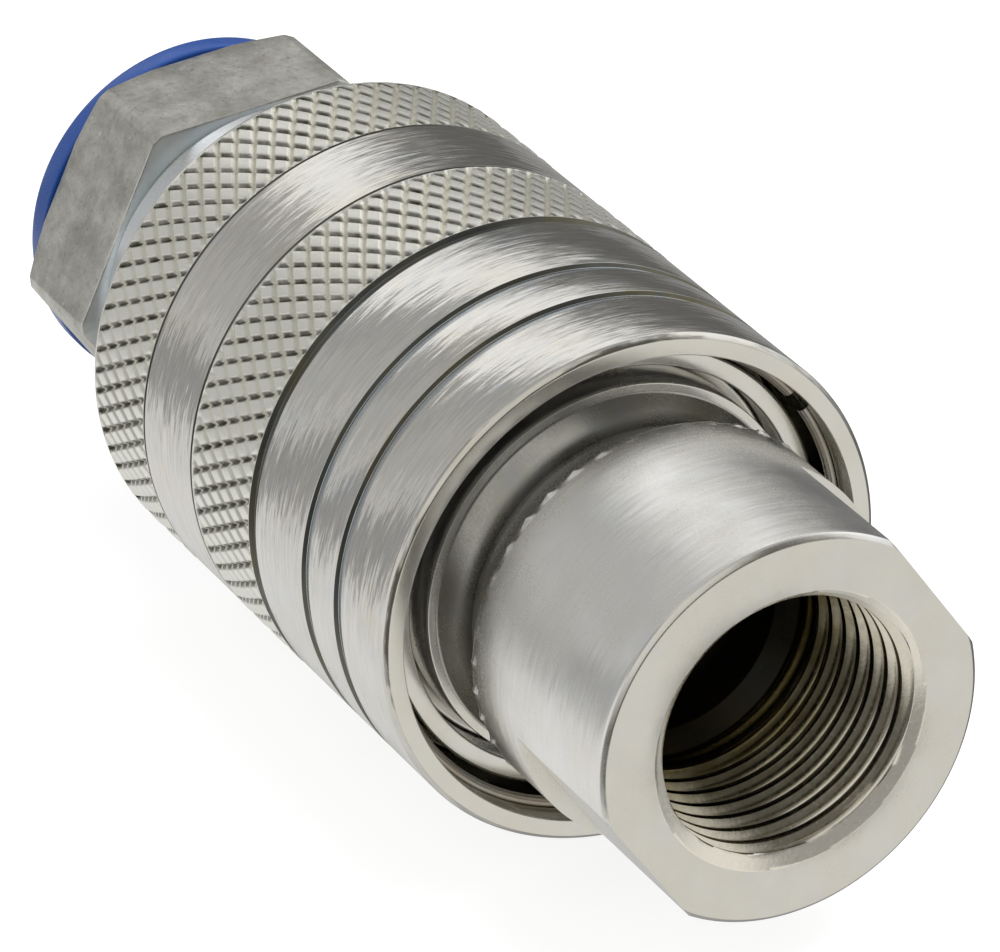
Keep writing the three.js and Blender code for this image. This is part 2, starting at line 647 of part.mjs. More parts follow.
function addNipple() {
  const guideRim = NIPPLE_GUIDE_BORE - RING_GAP;
  const guide = spokedGuide(NIPPLE_GUIDE_RIM_INNER, guideRim, NIPPLE_GUIDE_START, NIPPLE_GUIDE_END);
  const springStart = NIPPLE_GUIDE_END + FACE_GAP;
  const springEnd = NIPPLE_HEAD_FRONT - FACE_GAP;
  const sealStation = NIPPLE_HEAD_FRONT + NIPPLE_HEAD_EDGE + SEAL_GROOVE_WIDTH / 2;
  const sealSection = 0.5;
  const sealRadius = NIPPLE_HEAD_RADIUS - NIPPLE_SEAL_GROOVE_DEPTH + sealSection + SEAL_CLEARANCE;
  const springTurns = 6;
  const valveReturn = valveSpring(springStart, springEnd, springTurns);
  addPiece('nipple_body', nippleBody(), FINISHES.nippleSteel);
  addPiece('nipple_poppet', nipplePoppet(), FINISHES.bodySteel);
  addPiece('nipple_poppet_seal', roundRing(sealRadius, sealStation, sealSection), FINISHES.rubber);
  addPiece('nipple_poppet_guide', guide, FINISHES.bodySteel);
  addPiece('nipple_guide_ring', nippleGuideRing(), FINISHES.springSteel);
  addPiece('nipple_poppet_spring', valveReturn, FINISHES.springSteel);
}

function sleeveSpring() {
  const start = SLEEVE_SHOULDER + FACE_GAP;
  const end = SPRING_WASHER_START - FACE_GAP;
  const workingTurns = 3;
  const stepsPerTurn = 16;
  return spring(SLEEVE_SPRING_RADIUS, start, end, SLEEVE_SPRING_WIRE, workingTurns, stepsPerTurn);
}

function springWasher() {
  const inner = BARREL_RADIUS + SLIDE_GAP;
  return turnedRing(inner, SPRING_WASHER_RADIUS, SPRING_WASHER_START, SPRING_WASHER_END, FINE);
}

// The O-ring that seals the nipple's nose lies in the front of its gland, and the backup ring
// behind it.
function noseSeals() {
  const oRingSection = 0.92;
  const oRingStation = GLAND_START + 1.5;
  const oRingRadius = (NOSE_RADIUS + GLAND_RADIUS) / 2 + 0.05;
  const backupEnd = GLAND_END - FACE_GAP;
  const backupLength = 1.5;
  const backupInner = BODY_BORE_RADIUS + SLIDE_GAP;
  const backupOuter = GLAND_RADIUS - RING_GAP;
  return {
    oRing: roundRing(oRingRadius, oRingStation, oRingSection),
    backup: turnedRing(backupInner, backupOuter, backupEnd - backupLength, backupEnd),
  };
}

function addCouplerValve() {
  const rimInner = COUPLER_GUIDE_RIM_INNER;
  const guide = spokedGuide(rimInner, SPIGOT_RADIUS, COUPLER_GUIDE_START, COUPLER_GUIDE_END);
  const sealStation = COUPLER_HEAD_FRONT + COUPLER_HEAD_EDGE + SEAL_GROOVE_WIDTH / 2;
  const sealSection = 0.52;
  const sealRadius = COUPLER_HEAD_RADIUS - COUPLER_SEAL_GROOVE_DEPTH + sealSection + SEAL_CLEARANCE;
  const springStart = COUPLER_HEAD_END + FACE_GAP;
  const springEnd = COUPLER_GUIDE_START - FACE_GAP;
  const springTurns = 2;
  const valveReturn = valveSpring(springStart, springEnd, springTurns);
  addPiece('coupler_poppet', couplerPoppet(), FINISHES.bodySteel);
  addPiece('coupler_poppet_seal', roundRing(sealRadius, sealStation, sealSection), FINISHES.rubber);
  addPiece('coupler_poppet_spring', valveReturn, FINISHES.springSteel);
  addPiece('coupler_poppet_guide', guide, FINISHES.bodySteel);
}

function addCoupler() {
  const seals = noseSeals();
  const adapterRingSection = 0.65;
  const adapterRingRadius = ADAPTER_RING_GROOVE_RADIUS + adapterRingSection + SLIDE_GAP;
  const adapterRing = roundRing(adapterRingRadius, ADAPTER_RING_STATION, adapterRingSection);
  addPiece('coupler_body', couplerBody(), FINISHES.bodySteel);
  addPiece('nose_o_ring', seals.oRing, FINISHES.rubber);
  addPiece('nose_backup_ring', seals.backup, FINISHES.backupPolymer);
  addCouplerValve();
  addPiece('sleeve_spring', sleeveSpring(), FINISHES.springSteel);
  addPiece('spring_washer', springWasher(), FINISHES.bodySteel);
  addPiece('spring_circlip', springCirclip(), FINISHES.springSteel);
  addPiece('hex_adapter', hexAdapter(), FINISHES.castSteel);
  addPiece('adapter_o_ring', adapterRing, FINISHES.rubber);
}

addNipple();
addCoupler();
addBalls();
addPiece('grip_sleeve', gripSleeve(), FINISHES.zincSteel);
addPiece('mouth_wire_ring', mouthWireRing(), FINISHES.springSteel);
addPiece('port_plug', portPlug(), FINISHES.bluePlastic);

const coupler = new THREE.Group();
coupler.add(axle);

export default coupler;
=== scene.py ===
"""A half-inch ball-lock quick disconnect coupler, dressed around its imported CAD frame.

Stations are millimetres from the nipple's front face towards the dust plug, as in the CAD.
A turned piece is a list of rows. Each row is a ring round the X axis, given by its station
and radius, and either may vary round the ring.
"""

import math

import bmesh
import bpy
import numpy as np
from mathutils import Matrix, Vector


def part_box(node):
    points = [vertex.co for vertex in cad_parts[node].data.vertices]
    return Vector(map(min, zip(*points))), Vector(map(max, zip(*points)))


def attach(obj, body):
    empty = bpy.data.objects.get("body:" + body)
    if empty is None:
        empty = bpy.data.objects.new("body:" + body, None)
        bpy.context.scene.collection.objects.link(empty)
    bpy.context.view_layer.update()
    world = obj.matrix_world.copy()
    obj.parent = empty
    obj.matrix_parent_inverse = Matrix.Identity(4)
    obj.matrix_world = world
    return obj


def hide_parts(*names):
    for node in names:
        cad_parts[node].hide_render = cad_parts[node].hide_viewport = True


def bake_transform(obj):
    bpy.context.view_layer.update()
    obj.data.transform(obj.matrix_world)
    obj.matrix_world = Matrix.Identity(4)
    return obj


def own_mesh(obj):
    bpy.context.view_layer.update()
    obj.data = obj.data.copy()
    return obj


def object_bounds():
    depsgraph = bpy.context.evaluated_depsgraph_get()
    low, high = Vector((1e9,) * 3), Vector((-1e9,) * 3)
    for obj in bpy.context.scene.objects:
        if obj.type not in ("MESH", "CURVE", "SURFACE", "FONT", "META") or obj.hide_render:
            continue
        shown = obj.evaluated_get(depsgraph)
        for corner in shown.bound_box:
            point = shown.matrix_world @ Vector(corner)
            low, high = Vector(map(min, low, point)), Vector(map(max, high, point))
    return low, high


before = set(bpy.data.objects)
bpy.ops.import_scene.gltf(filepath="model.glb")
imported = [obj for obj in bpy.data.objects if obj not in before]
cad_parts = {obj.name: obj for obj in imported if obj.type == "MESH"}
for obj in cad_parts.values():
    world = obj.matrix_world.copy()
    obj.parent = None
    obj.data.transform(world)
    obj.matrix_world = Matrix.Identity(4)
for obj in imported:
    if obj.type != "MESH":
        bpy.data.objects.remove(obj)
cad_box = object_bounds()

MM = 0.001

# ------------------------------------------------------------------ places from the frame

FRONT_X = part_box("nipple_body")[1].x


def station_of(x):
    return (FRONT_X - x) / MM


def span(node):
    """(front station, rear station, outer radius) of a CAD node, in millimetres."""
    low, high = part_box(node)
    return station_of(high.x), station_of(low.x), high.z / MM


SLEEVE_FRONT = span("grip_sleeve")[0]
ADAPTER_FRONT = span("coupler_body")[1] + 0.3

# ------------------------------------------------------------------ driving dimensions, mm

PORT_DEPTH = 15.0
PORT_RADIUS = 9.3
PORT_MOUTH_RADIUS = 10.3
PORT_MOUTH_DEPTH = 0.6
THREAD_PITCH = 1.814
THREAD_DEPTH = 0.8
THREAD_STEPS = 14  # mesh rows in one pitch
KNURL_STARTS = 72
KNURL_LEAD = 2.85  # axial length of one diamond
KNURL_DEPTH = 0.3
KNURL_CREST = 0.05  # how far rolling raises the crests above the plain surface
KNURL_STEPS = 10  # mesh steps across one diamond
LINE_GROOVES = (28.4, 33.25)
RELIEF_STATION = 41.4
GROOVE_HALF_WIDTH = 0.55
FRONT_KNURL = (42.0, 50.9)
REAR_KNURL = (58.9, 66.9)
SLEEVE_RADIUS = 19.0
RECESS_RADIUS = 17.45
RECESS_END = 30.9
MOUTH_RING_RADIUS = 17.35
LIP_END = 30.4
BARREL_RADIUS = 13.8
# where the barrel's painted bluish white reflection begins
BARREL_SHEEN_START = 66.0
BODY_COLUMNS = 192
BALL_COUNT = 8
BALL_RADIUS = 3.0
BALL_HOLE_RADIUS = 3.1
BALL_STATION = 34.5
ADAPTER_THREAD_START = 72.2
ADAPTER_EDGE = 0.14  # the rounded corner between the hex and its front face, painted bright as a highlight
HEX_REAR_CHAMFER_RADIUS = 13.9
HEX_CHAMFER_SLOPE = math.tan(math.radians(30))
NIPPLE_FLAT_DISTANCE = 13.05
NIPPLE_FLAT_END = 12.0
NIPPLE_FLAT_ANGLES = (30.0, 210.0)
BURRS_START = 17.4  # the nipple head's rear edge is rough behind this station
HEAD_END = 18.1
NECK_RADIUS = 12.0
CONE_START = 22.0
COLLAR_START = 24.2
THREAD_SHADE_X = (32.0, 42.5)  # distances from the origin over which a thread's painted shade, dark olive deep in the port, gives way to bright plating

# ------------------------------------------------------------------ studio and camera

FLOOR_SIZE = 3.0  # metres from the middle to an edge
FLOOR_GLOW = 0.80
SOFTBOX_PLACE = Vector((0.15, 0.35, 0.95))
SOFTBOX_SIZE = 0.9
SOFTBOX_POWER = 9.0

# Brightness of the studio round the coupler's axis, by the angle from +Y up towards +Z.
STUDIO_BANDS = (
    (0, 0.12), (20, 0.16), (36, 0.30), (50, 0.70), (64, 1.0), (84, 1.0), (97, 0.42),
    (114, 0.36), (132, 0.46), (150, 0.44), (162, 0.62), (174, 0.31), (196, 0.36),
    (210, 0.70), (240, 0.78), (275, 0.70), (300, 0.54), (318, 0.34), (334, 0.28),
    (346, 0.15), (360, 0.12),
)
FRONT_LEVEL = 0.66  # brightness of the studio beyond the nipple's open end
CAMERA_SIDE_LEVEL = 0.10  # and of its dark part, between the port and the camera
CAMERA_SIDE = (0.0, -0.589, 0.808)  # the camera's direction, seen along the axis
SIDEWAYS = -0.779  # X of a ray that leaves a cylinder round the axis, seen by the camera
BAND_TWIST = 0.6  # how far a tool line that tilts a ray along X shifts the bands, in turns

CAMERA_AZIMUTH = 64.66
CAMERA_ELEVATION = 30.44
CAMERA_ROLL = -5.43
CAMERA_DISTANCE = 0.496
CAMERA_AIM = Vector((1.65, 1.11, -1.73)) * MM
CAMERA_LENS = 253.5

# ------------------------------------------------------------------ mesh helpers

SHARP_DEGREES = 38


def rounded(corners, steps=4):
    """Replaces each (station, radius, size) corner by a small curve that ends size away."""
    points = [np.array(c[:2], float) for c in corners]
    path = []
    for i, corner in enumerate(corners):
        here, before, after = points[i], points[i - 1], points[(i + 1) % len(points)]
        size = corner[2]
        if size <= 0:
            path.append(here)
            continue
        back, ahead = before - here, after - here
        back_length, ahead_length = np.linalg.norm(back), np.linalg.norm(ahead)
        cut = min(size, 0.45 * back_length, 0.45 * ahead_length)
        start = here + back / back_length * cut
        end = here + ahead / ahead_length * cut
        for step in range(steps + 1):
            t = step / steps
            path.append((1 - t) ** 2 * start + 2 * t * (1 - t) * here + t ** 2 * end)
    return [tuple(p) for p in path]


def even_angles(count):
    return np.linspace(0, 2 * math.pi, count, endpoint=False)


def strip_faces(row, following, count):
    """Quads between two rows of count vertices, both counted in whole rows."""
    column = np.arange(count)
    beside = (column + 1) % count
    a, b = row * count, following * count
    return np.stack([a + column, a + beside, b + beside, b + column], axis=1)


def fan_faces(row, pole, count):
    """Triangles between a row of vertices and one pole vertex."""
    column = np.arange(count) + row * count
    beside = (np.arange(count) + 1) % count + row * count
    return np.stack([column, beside, np.full(count, pole)], axis=1)


def solid_of_rows(name, rows, angles, closed=True, pick_zone=None, diagonals=None, seam=None):
    """A closed mesh from rows of (station, radius). If it isn't closed, its ends meet on the axis.

    pick_zone gives a strip's material from its middle. diagonals says, row by row, which way
    each quad is split. seam = (first row, last row, shift) joins rows that run as a helix.
    """
    count = len(angles)
    cos, sin = np.cos(angles), np.sin(angles)
    rings = []
    for station, radius in rows:
        x = FRONT_X - np.broadcast_to(station, count) * MM
        r = np.broadcast_to(radius, count) * MM
        rings.append(np.stack([x, r * cos, r * sin], axis=1))
    vertices = np.concatenate(rings)

    def past_seam(row):
        """The vertex that closes this row's circle."""
        if seam and seam[0] <= row <= seam[1]:
            return min(row + seam[2], seam[1]) * count
        return row * count

    def zone_of(row, following):
        if pick_zone is None:
            return 0
        middle = (rings[row] + rings[following]).mean(axis=0) / 2
        radius = (np.mean(rows[row][1]) + np.mean(rows[following][1])) / 2
        return pick_zone(station_of(middle[0]), radius)

    last = len(rows) if closed else len(rows) - 1
    faces, face_zones = [], []
    for i in range(last):
        following = (i + 1) % len(rows)
        quads = strip_faces(i, following, count)
        quads[-1, 1], quads[-1, 2] = past_seam(i), past_seam(following)
        if diagonals and i in diagonals:
            falling = diagonals[i][:, None]
            first = np.where(falling, quads[:, [0, 1, 2]], quads[:, [0, 1, 3]])
            second = np.where(falling, quads[:, [0, 2, 3]], quads[:, [1, 2, 3]])
            quads = np.concatenate([first, second])
        faces.extend(quads.tolist())
        face_zones.extend([zone_of(i, following)] * len(quads))
    if not closed:
        first_pole = len(vertices)
        vertices = np.concatenate([vertices, [rings[0].mean(axis=0), rings[-1].mean(axis=0)]])
        faces.extend(fan_faces(0, first_pole, count)[:, [1, 0, 2]].tolist())
        faces.extend(fan_faces(last, first_pole + 1, count).tolist())
        face_zones.extend([0] * (2 * count))
    return mesh_object(name, vertices, faces, face_zones, merge=seam is not None)


def mesh_object(name, vertices, faces, face_zones=None, sharp_degrees=SHARP_DEGREES, merge=False):
    mesh = bpy.data.meshes.new(name)
    mesh.from_pydata(np.asarray(vertices).tolist(), [], faces)
    if face_zones is not None:
        mesh.polygons.foreach_set("material_index", face_zones)
    if merge:
        merge_same_places(mesh)
    obj = bpy.data.objects.new(name, mesh)
    bpy.context.scene.collection.objects.link(obj)
    if signed_volume(mesh) < 0:
        mesh.flip_normals()
    shade(obj, sharp_degrees)
    return obj


def merge_same_places(mesh):
    """Joins vertices that share a place, which also drops the faces they made flat."""
    work = bmesh.new()
    work.from_mesh(mesh)
    bmesh.ops.remove_doubles(work, verts=work.verts, dist=1e-4 * MM)
    work.to_mesh(mesh)
    work.free()


def signed_volume(mesh):
    mesh.calc_loop_triangles()
    points = np.zeros(len(mesh.vertices) * 3)
    mesh.vertices.foreach_get("co", points)
    points = points.reshape(-1, 3)
    corners = np.zeros(len(mesh.loop_triangles) * 3, int)
    mesh.loop_triangles.foreach_get("vertices", corners)
    a, b, c = (points[corners.reshape(-1, 3)[:, i]] for i in range(3))
    return float(np.einsum("ij,ij->i", a, np.cross(b, c)).sum() / 6)


def shade(obj, sharp_degrees):
    mesh = obj.data
    mesh.polygons.foreach_set("use_smooth", [True] * len(mesh.polygons))
    mesh.set_sharp_from_angle(angle=math.radians(sharp_degrees))
    mesh.update()


def turned_ring(name, corners):
    return solid_of_rows(name, rounded(corners), even_angles(144))


def turned_solid(name, corners, columns):
    """A turned piece whose outline's first and last corners lie on the axis."""
    rows = [point for point in rounded(corners) if point[1] > 1e-6]
    return solid_of_rows(name, rows, even_angles(columns), closed=False)


def cut(obj, tool):
    """Cuts obj with tool and deletes the tool."""
    modifier = obj.modifiers.new("cut", "BOOLEAN")
    modifier.operation = "DIFFERENCE"
    modifier.solver = "EXACT"
    modifier.object = tool
    graph = bpy.context.evaluated_depsgraph_get()
    result = bpy.data.meshes.new_from_object(obj.evaluated_get(graph), depsgraph=graph)
    obj.modifiers.clear()
    obj.data = result
    bpy.data.objects.remove(tool)
    shade(obj, SHARP_DEGREES)


def prism(name, outline, start, end):
    """Extrudes a (y, z) outline in millimetres between two stations."""
    count = len(outline)
    vertices = [(FRONT_X - s * MM, y * MM, z * MM) for s in (start, end) for y, z in outline]
    faces = [list(range(count)), list(range(2 * count - 1, count - 1, -1))]
    faces += [[i, i + count, (i + 1) % count + count, (i + 1) % count] for i in range(count)]
    return mesh_object(name, vertices, faces)


def swept_wire(name, points, radius, sides=16):
    """A round wire along a polyline of millimetre points, with flat ends."""
    points = np.asarray(points, float)
    tangents = np.gradient(points, axis=0)
    tangents /= np.linalg.norm(tangents, axis=1)[:, None]
    normal = np.cross(tangents[0], (1.0, 0.3, 0.1))
    normal /= np.linalg.norm(normal)
    rings = []
    angles = even_angles(sides)
    for point, tangent in zip(points, tangents):
        normal = normal - tangent * (normal @ tangent)
        normal /= np.linalg.norm(normal)
        binormal = np.cross(tangent, normal)
        circle = np.outer(np.cos(angles), normal) + np.outer(np.sin(angles), binormal)
        rings.append((point + radius * circle) * MM)
    last = len(points) - 1
    faces = []
    for i in range(last):
        faces.extend(strip_faces(i, i + 1, sides).tolist())
    faces.append(list(range(sides - 1, -1, -1)))
    faces.append(list(range(last * sides, (last + 1) * sides)))
    return mesh_object(name, np.concatenate(rings), faces, sharp_degrees=50)


def coil_points(radius, start, end, wire, working_turns, steps_per_turn=40):
    """Centre line of a compression spring with one closed turn at each end."""
    turns = working_turns + 2
    t = np.linspace(0, turns, turns * steps_per_turn + 1)
    closed_rise = 2.15 * wire
    length = end - start - 2 * wire
    pitch = (length - 2 * closed_rise) / working_turns
    rise = np.where(t < 1, t * closed_rise, closed_rise + (t - 1) * pitch)
    rise = np.where(t > turns - 1, length - (turns - t) * closed_rise, rise)
    x = FRONT_X / MM - (start + wire + rise)
    return np.stack([x, radius * np.cos(2 * math.pi * t), radius * np.sin(2 * math.pi * t)], axis=1)


# ------------------------------------------------------------------ materials


class NodeTree:
    """Adds nodes to a tree. An input takes a plain value or another node's output socket."""

    def __init__(self, tree):
        self.tree = tree
        tree.nodes.clear()

    def feed(self, socket, value):
        if isinstance(value, bpy.types.NodeSocket):
            self.tree.links.new(value, socket)
        else:
            socket.default_value = value

    def add(self, kind, inputs=None, **properties):
        node = self.tree.nodes.new(kind)
        for key, value in properties.items():
            setattr(node, key, value)
        for key, value in (inputs or {}).items():
            self.feed(node.inputs[key], value)
        return node

    def math(self, operation, *values):
        return self.add("ShaderNodeMath", dict(enumerate(values)), operation=operation).outputs[0]

    def vector_math(self, operation, inputs):
        return self.add("ShaderNodeVectorMath", inputs, operation=operation).outputs["Vector"]

    def remap(self, value, low, high, to_low=0.0, to_high=1.0):
        """to_low where value is low and to_high where it is high, held beyond them."""
        ends = {"From Min": low, "From Max": high, "To Min": to_low, "To Max": to_high}
        return self.add("ShaderNodeMapRange", {"Value": value, **ends}).outputs["Result"]


class Shader(NodeTree):
    """One new material, its surface, and the patterns that it is made of."""

    def __init__(self, name):
        self.material = bpy.data.materials.new(name)
        self.material.use_nodes = True
        super().__init__(self.material.node_tree)
        self.surface = self.add("ShaderNodeBsdfPrincipled")
        self.add("ShaderNodeOutputMaterial", {"Surface": self.surface.outputs["BSDF"]})

    def place(self, scale=1 / MM):
        """The point on the piece, in millimetres, as a vector."""
        coordinates = self.add("ShaderNodeTexCoord")
        return self.vector_math("SCALE", {0: coordinates.outputs["Object"], "Scale": scale})

    def noise(self, place, per_mm, detail=3.0, roughness=0.5, stretch=(1, 1, 1)):
        moved = self.vector_math("MULTIPLY", {0: place, 1: stretch})
        settings = {"Scale": per_mm, "Detail": detail, "Roughness": roughness}
        return self.add("ShaderNodeTexNoise", {"Vector": moved, **settings}).outputs["Fac"]

    def mix(self, factor, a, b, blend="MIX"):
        """A mix of two colours; the sockets' numbers are those of the node's colour mode."""
        inputs = {0: factor, 6: a, 7: b}
        return self.add("ShaderNodeMix", inputs, data_type="RGBA", blend_type=blend).outputs[2]

    def bump(self, height, distance, after=None):
        """Tilts the normal by a height map, distance in millimetres, on top of an earlier normal."""
        node = self.add("ShaderNodeBump", {"Height": height, "Distance": distance * MM})
        if after is not None:
            self.feed(node.inputs["Normal"], after)
        return node.outputs["Normal"]

    def swayed_normal(self, tangent, sway, amount):
        """The surface normal, leaned round the X axis by a noise, to break up highlights."""
        normal = self.add("ShaderNodeNewGeometry").outputs["Normal"]
        lean = self.remap(sway, 0.0, 1.0, -amount, amount)
        side = self.vector_math("SCALE", {0: tangent, "Scale": lean})
        return self.vector_math("NORMALIZE", {0: self.vector_math("ADD", {0: normal, 1: side})})

    def set(self, **inputs):
        for key, value in inputs.items():
            self.feed(self.surface.inputs[key.replace("_", " ")], value)


def rgba(r, g, b):
    return (r, g, b, 1.0)


def turned_metal(
    name, color, warm, cool, roughness,
    line_height=0.0022, anisotropy=0.4, mottle=0.06, dash=0.05, cloud_height=0.0, sway=0.0,
):
    """Turned steel: fine tool lines run round the piece and break up each highlight."""
    s = Shader(name)
    place = s.place()
    lines = s.noise(place, 5.0, detail=3.0, roughness=0.7, stretch=(1.0, dash, dash))
    wide_lines = s.noise(place, 1.2, detail=2.0, stretch=(1.0, dash * 0.8, dash * 0.8))
    patches = s.noise(place, 0.22, detail=3.0)
    stain = s.noise(place, 0.45, detail=4.0, roughness=0.6)
    speck = s.noise(place, 5.0, detail=3.0, roughness=0.6)
    tinted = s.mix(s.remap(patches, 0.38, 0.68), rgba(*color), rgba(*warm))
    cooled = s.mix(s.remap(stain, 0.52, 0.75, 0.0, 0.8), tinted, rgba(*cool))
    dimming = s.remap(lines, 0.3, 0.7, 1.0 - mottle, 1.0)
    gray = s.add("ShaderNodeCombineColor", {channel: dimming for channel in range(3)})
    final = s.mix(1.0, cooled, gray.outputs["Color"], "MULTIPLY")
    smooth = s.remap(patches, 0.3, 0.7, roughness * 0.8, roughness * 1.25)
    rough = s.math("ADD", smooth, s.remap(speck, 0.3, 0.7, -0.03, 0.03))
    tangent = s.add("ShaderNodeTangent", direction_type="RADIAL", axis="X").outputs["Tangent"]
    dashes = s.noise(place, 4.0, detail=2.0, roughness=0.75, stretch=(1.0, 0.08, 0.08))
    leaned = s.swayed_normal(tangent, dashes, sway)
    fine = s.bump(lines, line_height, after=leaned)
    broad = s.bump(wide_lines, line_height * 4, after=fine)
    surface = s.bump(speck, line_height * 0.6, after=broad)
    if cloud_height:
        surface = s.bump(stain, cloud_height, after=surface)
    s.set(Base_Color=final, Metallic=1.0, Roughness=rough, Anisotropic=anisotropy)
    s.set(Anisotropic_Rotation=0.25, Tangent=tangent, Normal=surface)
    return s.material


def knurled_metal():
    """Rolled knurl: bright flat tops, olive dirt in the grooves of one hand, and painted shade, nearly
    black, in the grooves of the other hand.
    """
    s = Shader("knurled_steel")
    place = s.place()
    right = s.add("ShaderNodeAttribute", attribute_name="right_groove").outputs["Fac"]
    left = s.add("ShaderNodeAttribute", attribute_name="left_groove").outputs["Fac"]
    dirt_and_shade_noise = s.noise(place, 0.8, detail=4.0, roughness=0.6)
    speck = s.noise(place, 5.0, detail=3.0, roughness=0.65)
    strength = s.remap(dirt_and_shade_noise, 0.3, 0.7, 0.65, 1.0)
    # The painted shade in the left-hand grooves is lifted where a right-hand groove crosses them.
    left_shade_amount = s.math("MULTIPLY", strength, s.remap(right, 0.05, 0.6, 1.0, 0.12))
    color = s.mix(dirt_and_shade_noise, rgba(0.99, 0.985, 0.95), rgba(0.94, 0.93, 0.86))
    # Olive dirt in the right-hand grooves; painted shade, nearly black, on the left-hand grooves' walls
    # turned from the light.
    for depth, amount, dirt_and_shade_color in (
        (right, strength, rgba(0.88, 0.86, 0.76)),
        (left, left_shade_amount, rgba(0.06, 0.055, 0.03)),
    ):
        dirt_and_shade = s.math("MULTIPLY", s.remap(depth, 0.02, 0.45), amount)
        color = s.mix(dirt_and_shade, color, dirt_and_shade_color)
    rough = s.remap(speck, 0.3, 0.7, 0.28, 0.46)
    s.set(Base_Color=color, Metallic=1.0, Roughness=rough, Normal=s.bump(speck, 0.014))
    return s.material


def thread_metal():
    """Bright plating at a port's mouth, with painted shade that turns it dark olive deeper down the
    thread.
    """
    s = Shader("thread_steel")
    place = s.place()
    x = s.add("ShaderNodeSeparateXYZ", {"Vector": place}).outputs["X"]
    distance = s.math("ABSOLUTE", x)
    cloud = s.noise(place, 0.35, detail=4.0, roughness=0.6)
    speck = s.noise(place, 3.0, detail=4.0, roughness=0.65)
    moved = s.math("ADD", distance, s.remap(cloud, 0.2, 0.8, -3.0, 3.0))
    bright = s.mix(speck, rgba(0.97, 0.93, 0.76), rgba(0.88, 0.86, 0.86))
    # Painted shade: dark olive deep in the port, bright towards the mouth.
    color = s.mix(s.remap(moved, *THREAD_SHADE_X), rgba(0.26, 0.225, 0.12), bright)
    chamfer_end = FRONT_X / MM - PORT_MOUTH_DEPTH
    metallic = s.remap(distance, chamfer_end - 0.05, chamfer_end + 0.1, 1.0, 0.8)
    rough = s.remap(speck, 0.3, 0.7, 0.10, 0.28)
    s.set(Base_Color=color, Metallic=metallic, Roughness=rough, Normal=s.bump(speck, 0.010))
    return s.material


def rough_metal():
    """The adapter's matte, mottled plating, with pale scuffs and dark pits."""
    s = Shader("forged_steel")
    place = s.place()
    mottle = s.noise(place, 0.35, detail=5.0, roughness=0.7)
    patch = s.noise(place, 1.1, detail=4.0, roughness=0.6)
    grain = s.noise(place, 3.2, detail=4.0, roughness=0.65)
    fine = s.noise(place, 9.0, detail=2.0)
    draw = s.noise(place, 3.0, detail=3.0, stretch=(0.15, 1.0, 1.0))
    pale = s.mix(s.remap(mottle, 0.32, 0.68), rgba(0.46, 0.455, 0.425), rgba(0.76, 0.75, 0.71))
    browned = s.mix(s.remap(patch, 0.5, 0.8, 0.0, 0.55), pale, rgba(0.42, 0.38, 0.28))
    pitted = s.mix(s.remap(grain, 0.26, 0.42, 0.6, 0.0), browned, rgba(0.16, 0.155, 0.14))
    color = s.mix(s.remap(patch, 0.27, 0.35, 0.85, 0.0), pitted, rgba(0.90, 0.89, 0.85))
    rough = s.remap(grain, 0.3, 0.7, 0.50, 0.34)
    surface = None
    for height, distance in ((patch, 0.05), (grain, 0.03), (draw, 0.015), (fine, 0.010)):
        surface = s.bump(height, distance, after=surface)
    s.set(Base_Color=color, Metallic=1.0, Roughness=rough, Normal=surface)
    return s.material


def moulded(name, color, shadow, roughness, grain_height=0.004, subsurface=0.0, coat=0.0):
    """A moulded plastic or rubber with a fine, slightly uneven skin."""
    s = Shader(name)
    place = s.place()
    cloud = s.noise(place, 0.35, detail=3.0)
    grain = s.noise(place, 7.0, detail=3.0)
    flow = s.noise(place, 1.3, detail=3.0)
    mixed = s.mix(cloud, rgba(*color), rgba(*shadow))
    rough = s.remap(flow, 0.3, 0.7, roughness * 0.8, roughness * 1.25)
    wave = s.bump(flow, grain_height * 3, after=s.bump(grain, grain_height))
    s.set(Base_Color=mixed, Roughness=rough, Normal=wave)
    s.set(Subsurface_Weight=subsurface, Subsurface_Scale=0.6 * MM, Coat_Weight=coat)
    return s.material


# Each metal has its colour, the tints of its warm and cool patches, and its roughness.
SLEEVE_STEEL = turned_metal(
    "zinc_steel", (0.84, 0.83, 0.80), (0.83, 0.80, 0.73), (0.77, 0.80, 0.83), 0.11,
    line_height=0.0045, mottle=0.14, cloud_height=0.012, sway=0.32,
)
GROOVE_STEEL = turned_metal(
    "groove_steel", (0.62, 0.66, 0.69), (0.58, 0.60, 0.61), (0.52, 0.60, 0.68), 0.22,
    mottle=0.15,
)
# Painted shade: a dark copy of the plating for the walls of the sleeve's narrow grooves.
GROOVE_SHADE_STEEL = turned_metal(
    "groove_shade_steel", (0.26, 0.275, 0.27), (0.28, 0.26, 0.19), (0.22, 0.28, 0.32), 0.35,
    mottle=0.3,
)
RECESS_STEEL = turned_metal(
    "recess_steel", (0.42, 0.415, 0.36), (0.30, 0.28, 0.18), (0.56, 0.57, 0.56), 0.22,
    line_height=0.006, mottle=0.35, dash=0.02,
)
NIPPLE_STEEL = turned_metal(
    "nipple_steel", (0.92, 0.915, 0.90), (0.91, 0.89, 0.84), (0.88, 0.90, 0.92), 0.24,
    line_height=0.0020, anisotropy=0.3, mottle=0.05, sway=0.10,
)
NECK_STEEL = turned_metal(
    "neck_steel", (0.85, 0.855, 0.83), (0.80, 0.78, 0.73), (0.79, 0.82, 0.85), 0.30,
    line_height=0.001, anisotropy=0.2,
)
# Painted shade: a darker copy of the nipple's steel for the cone and collar face behind the head.
CONE_SHADE_STEEL = turned_metal(
    "cone_shade_steel", (0.55, 0.55, 0.53), (0.49, 0.48, 0.45), (0.49, 0.51, 0.55), 0.28,
    line_height=0.001,
)
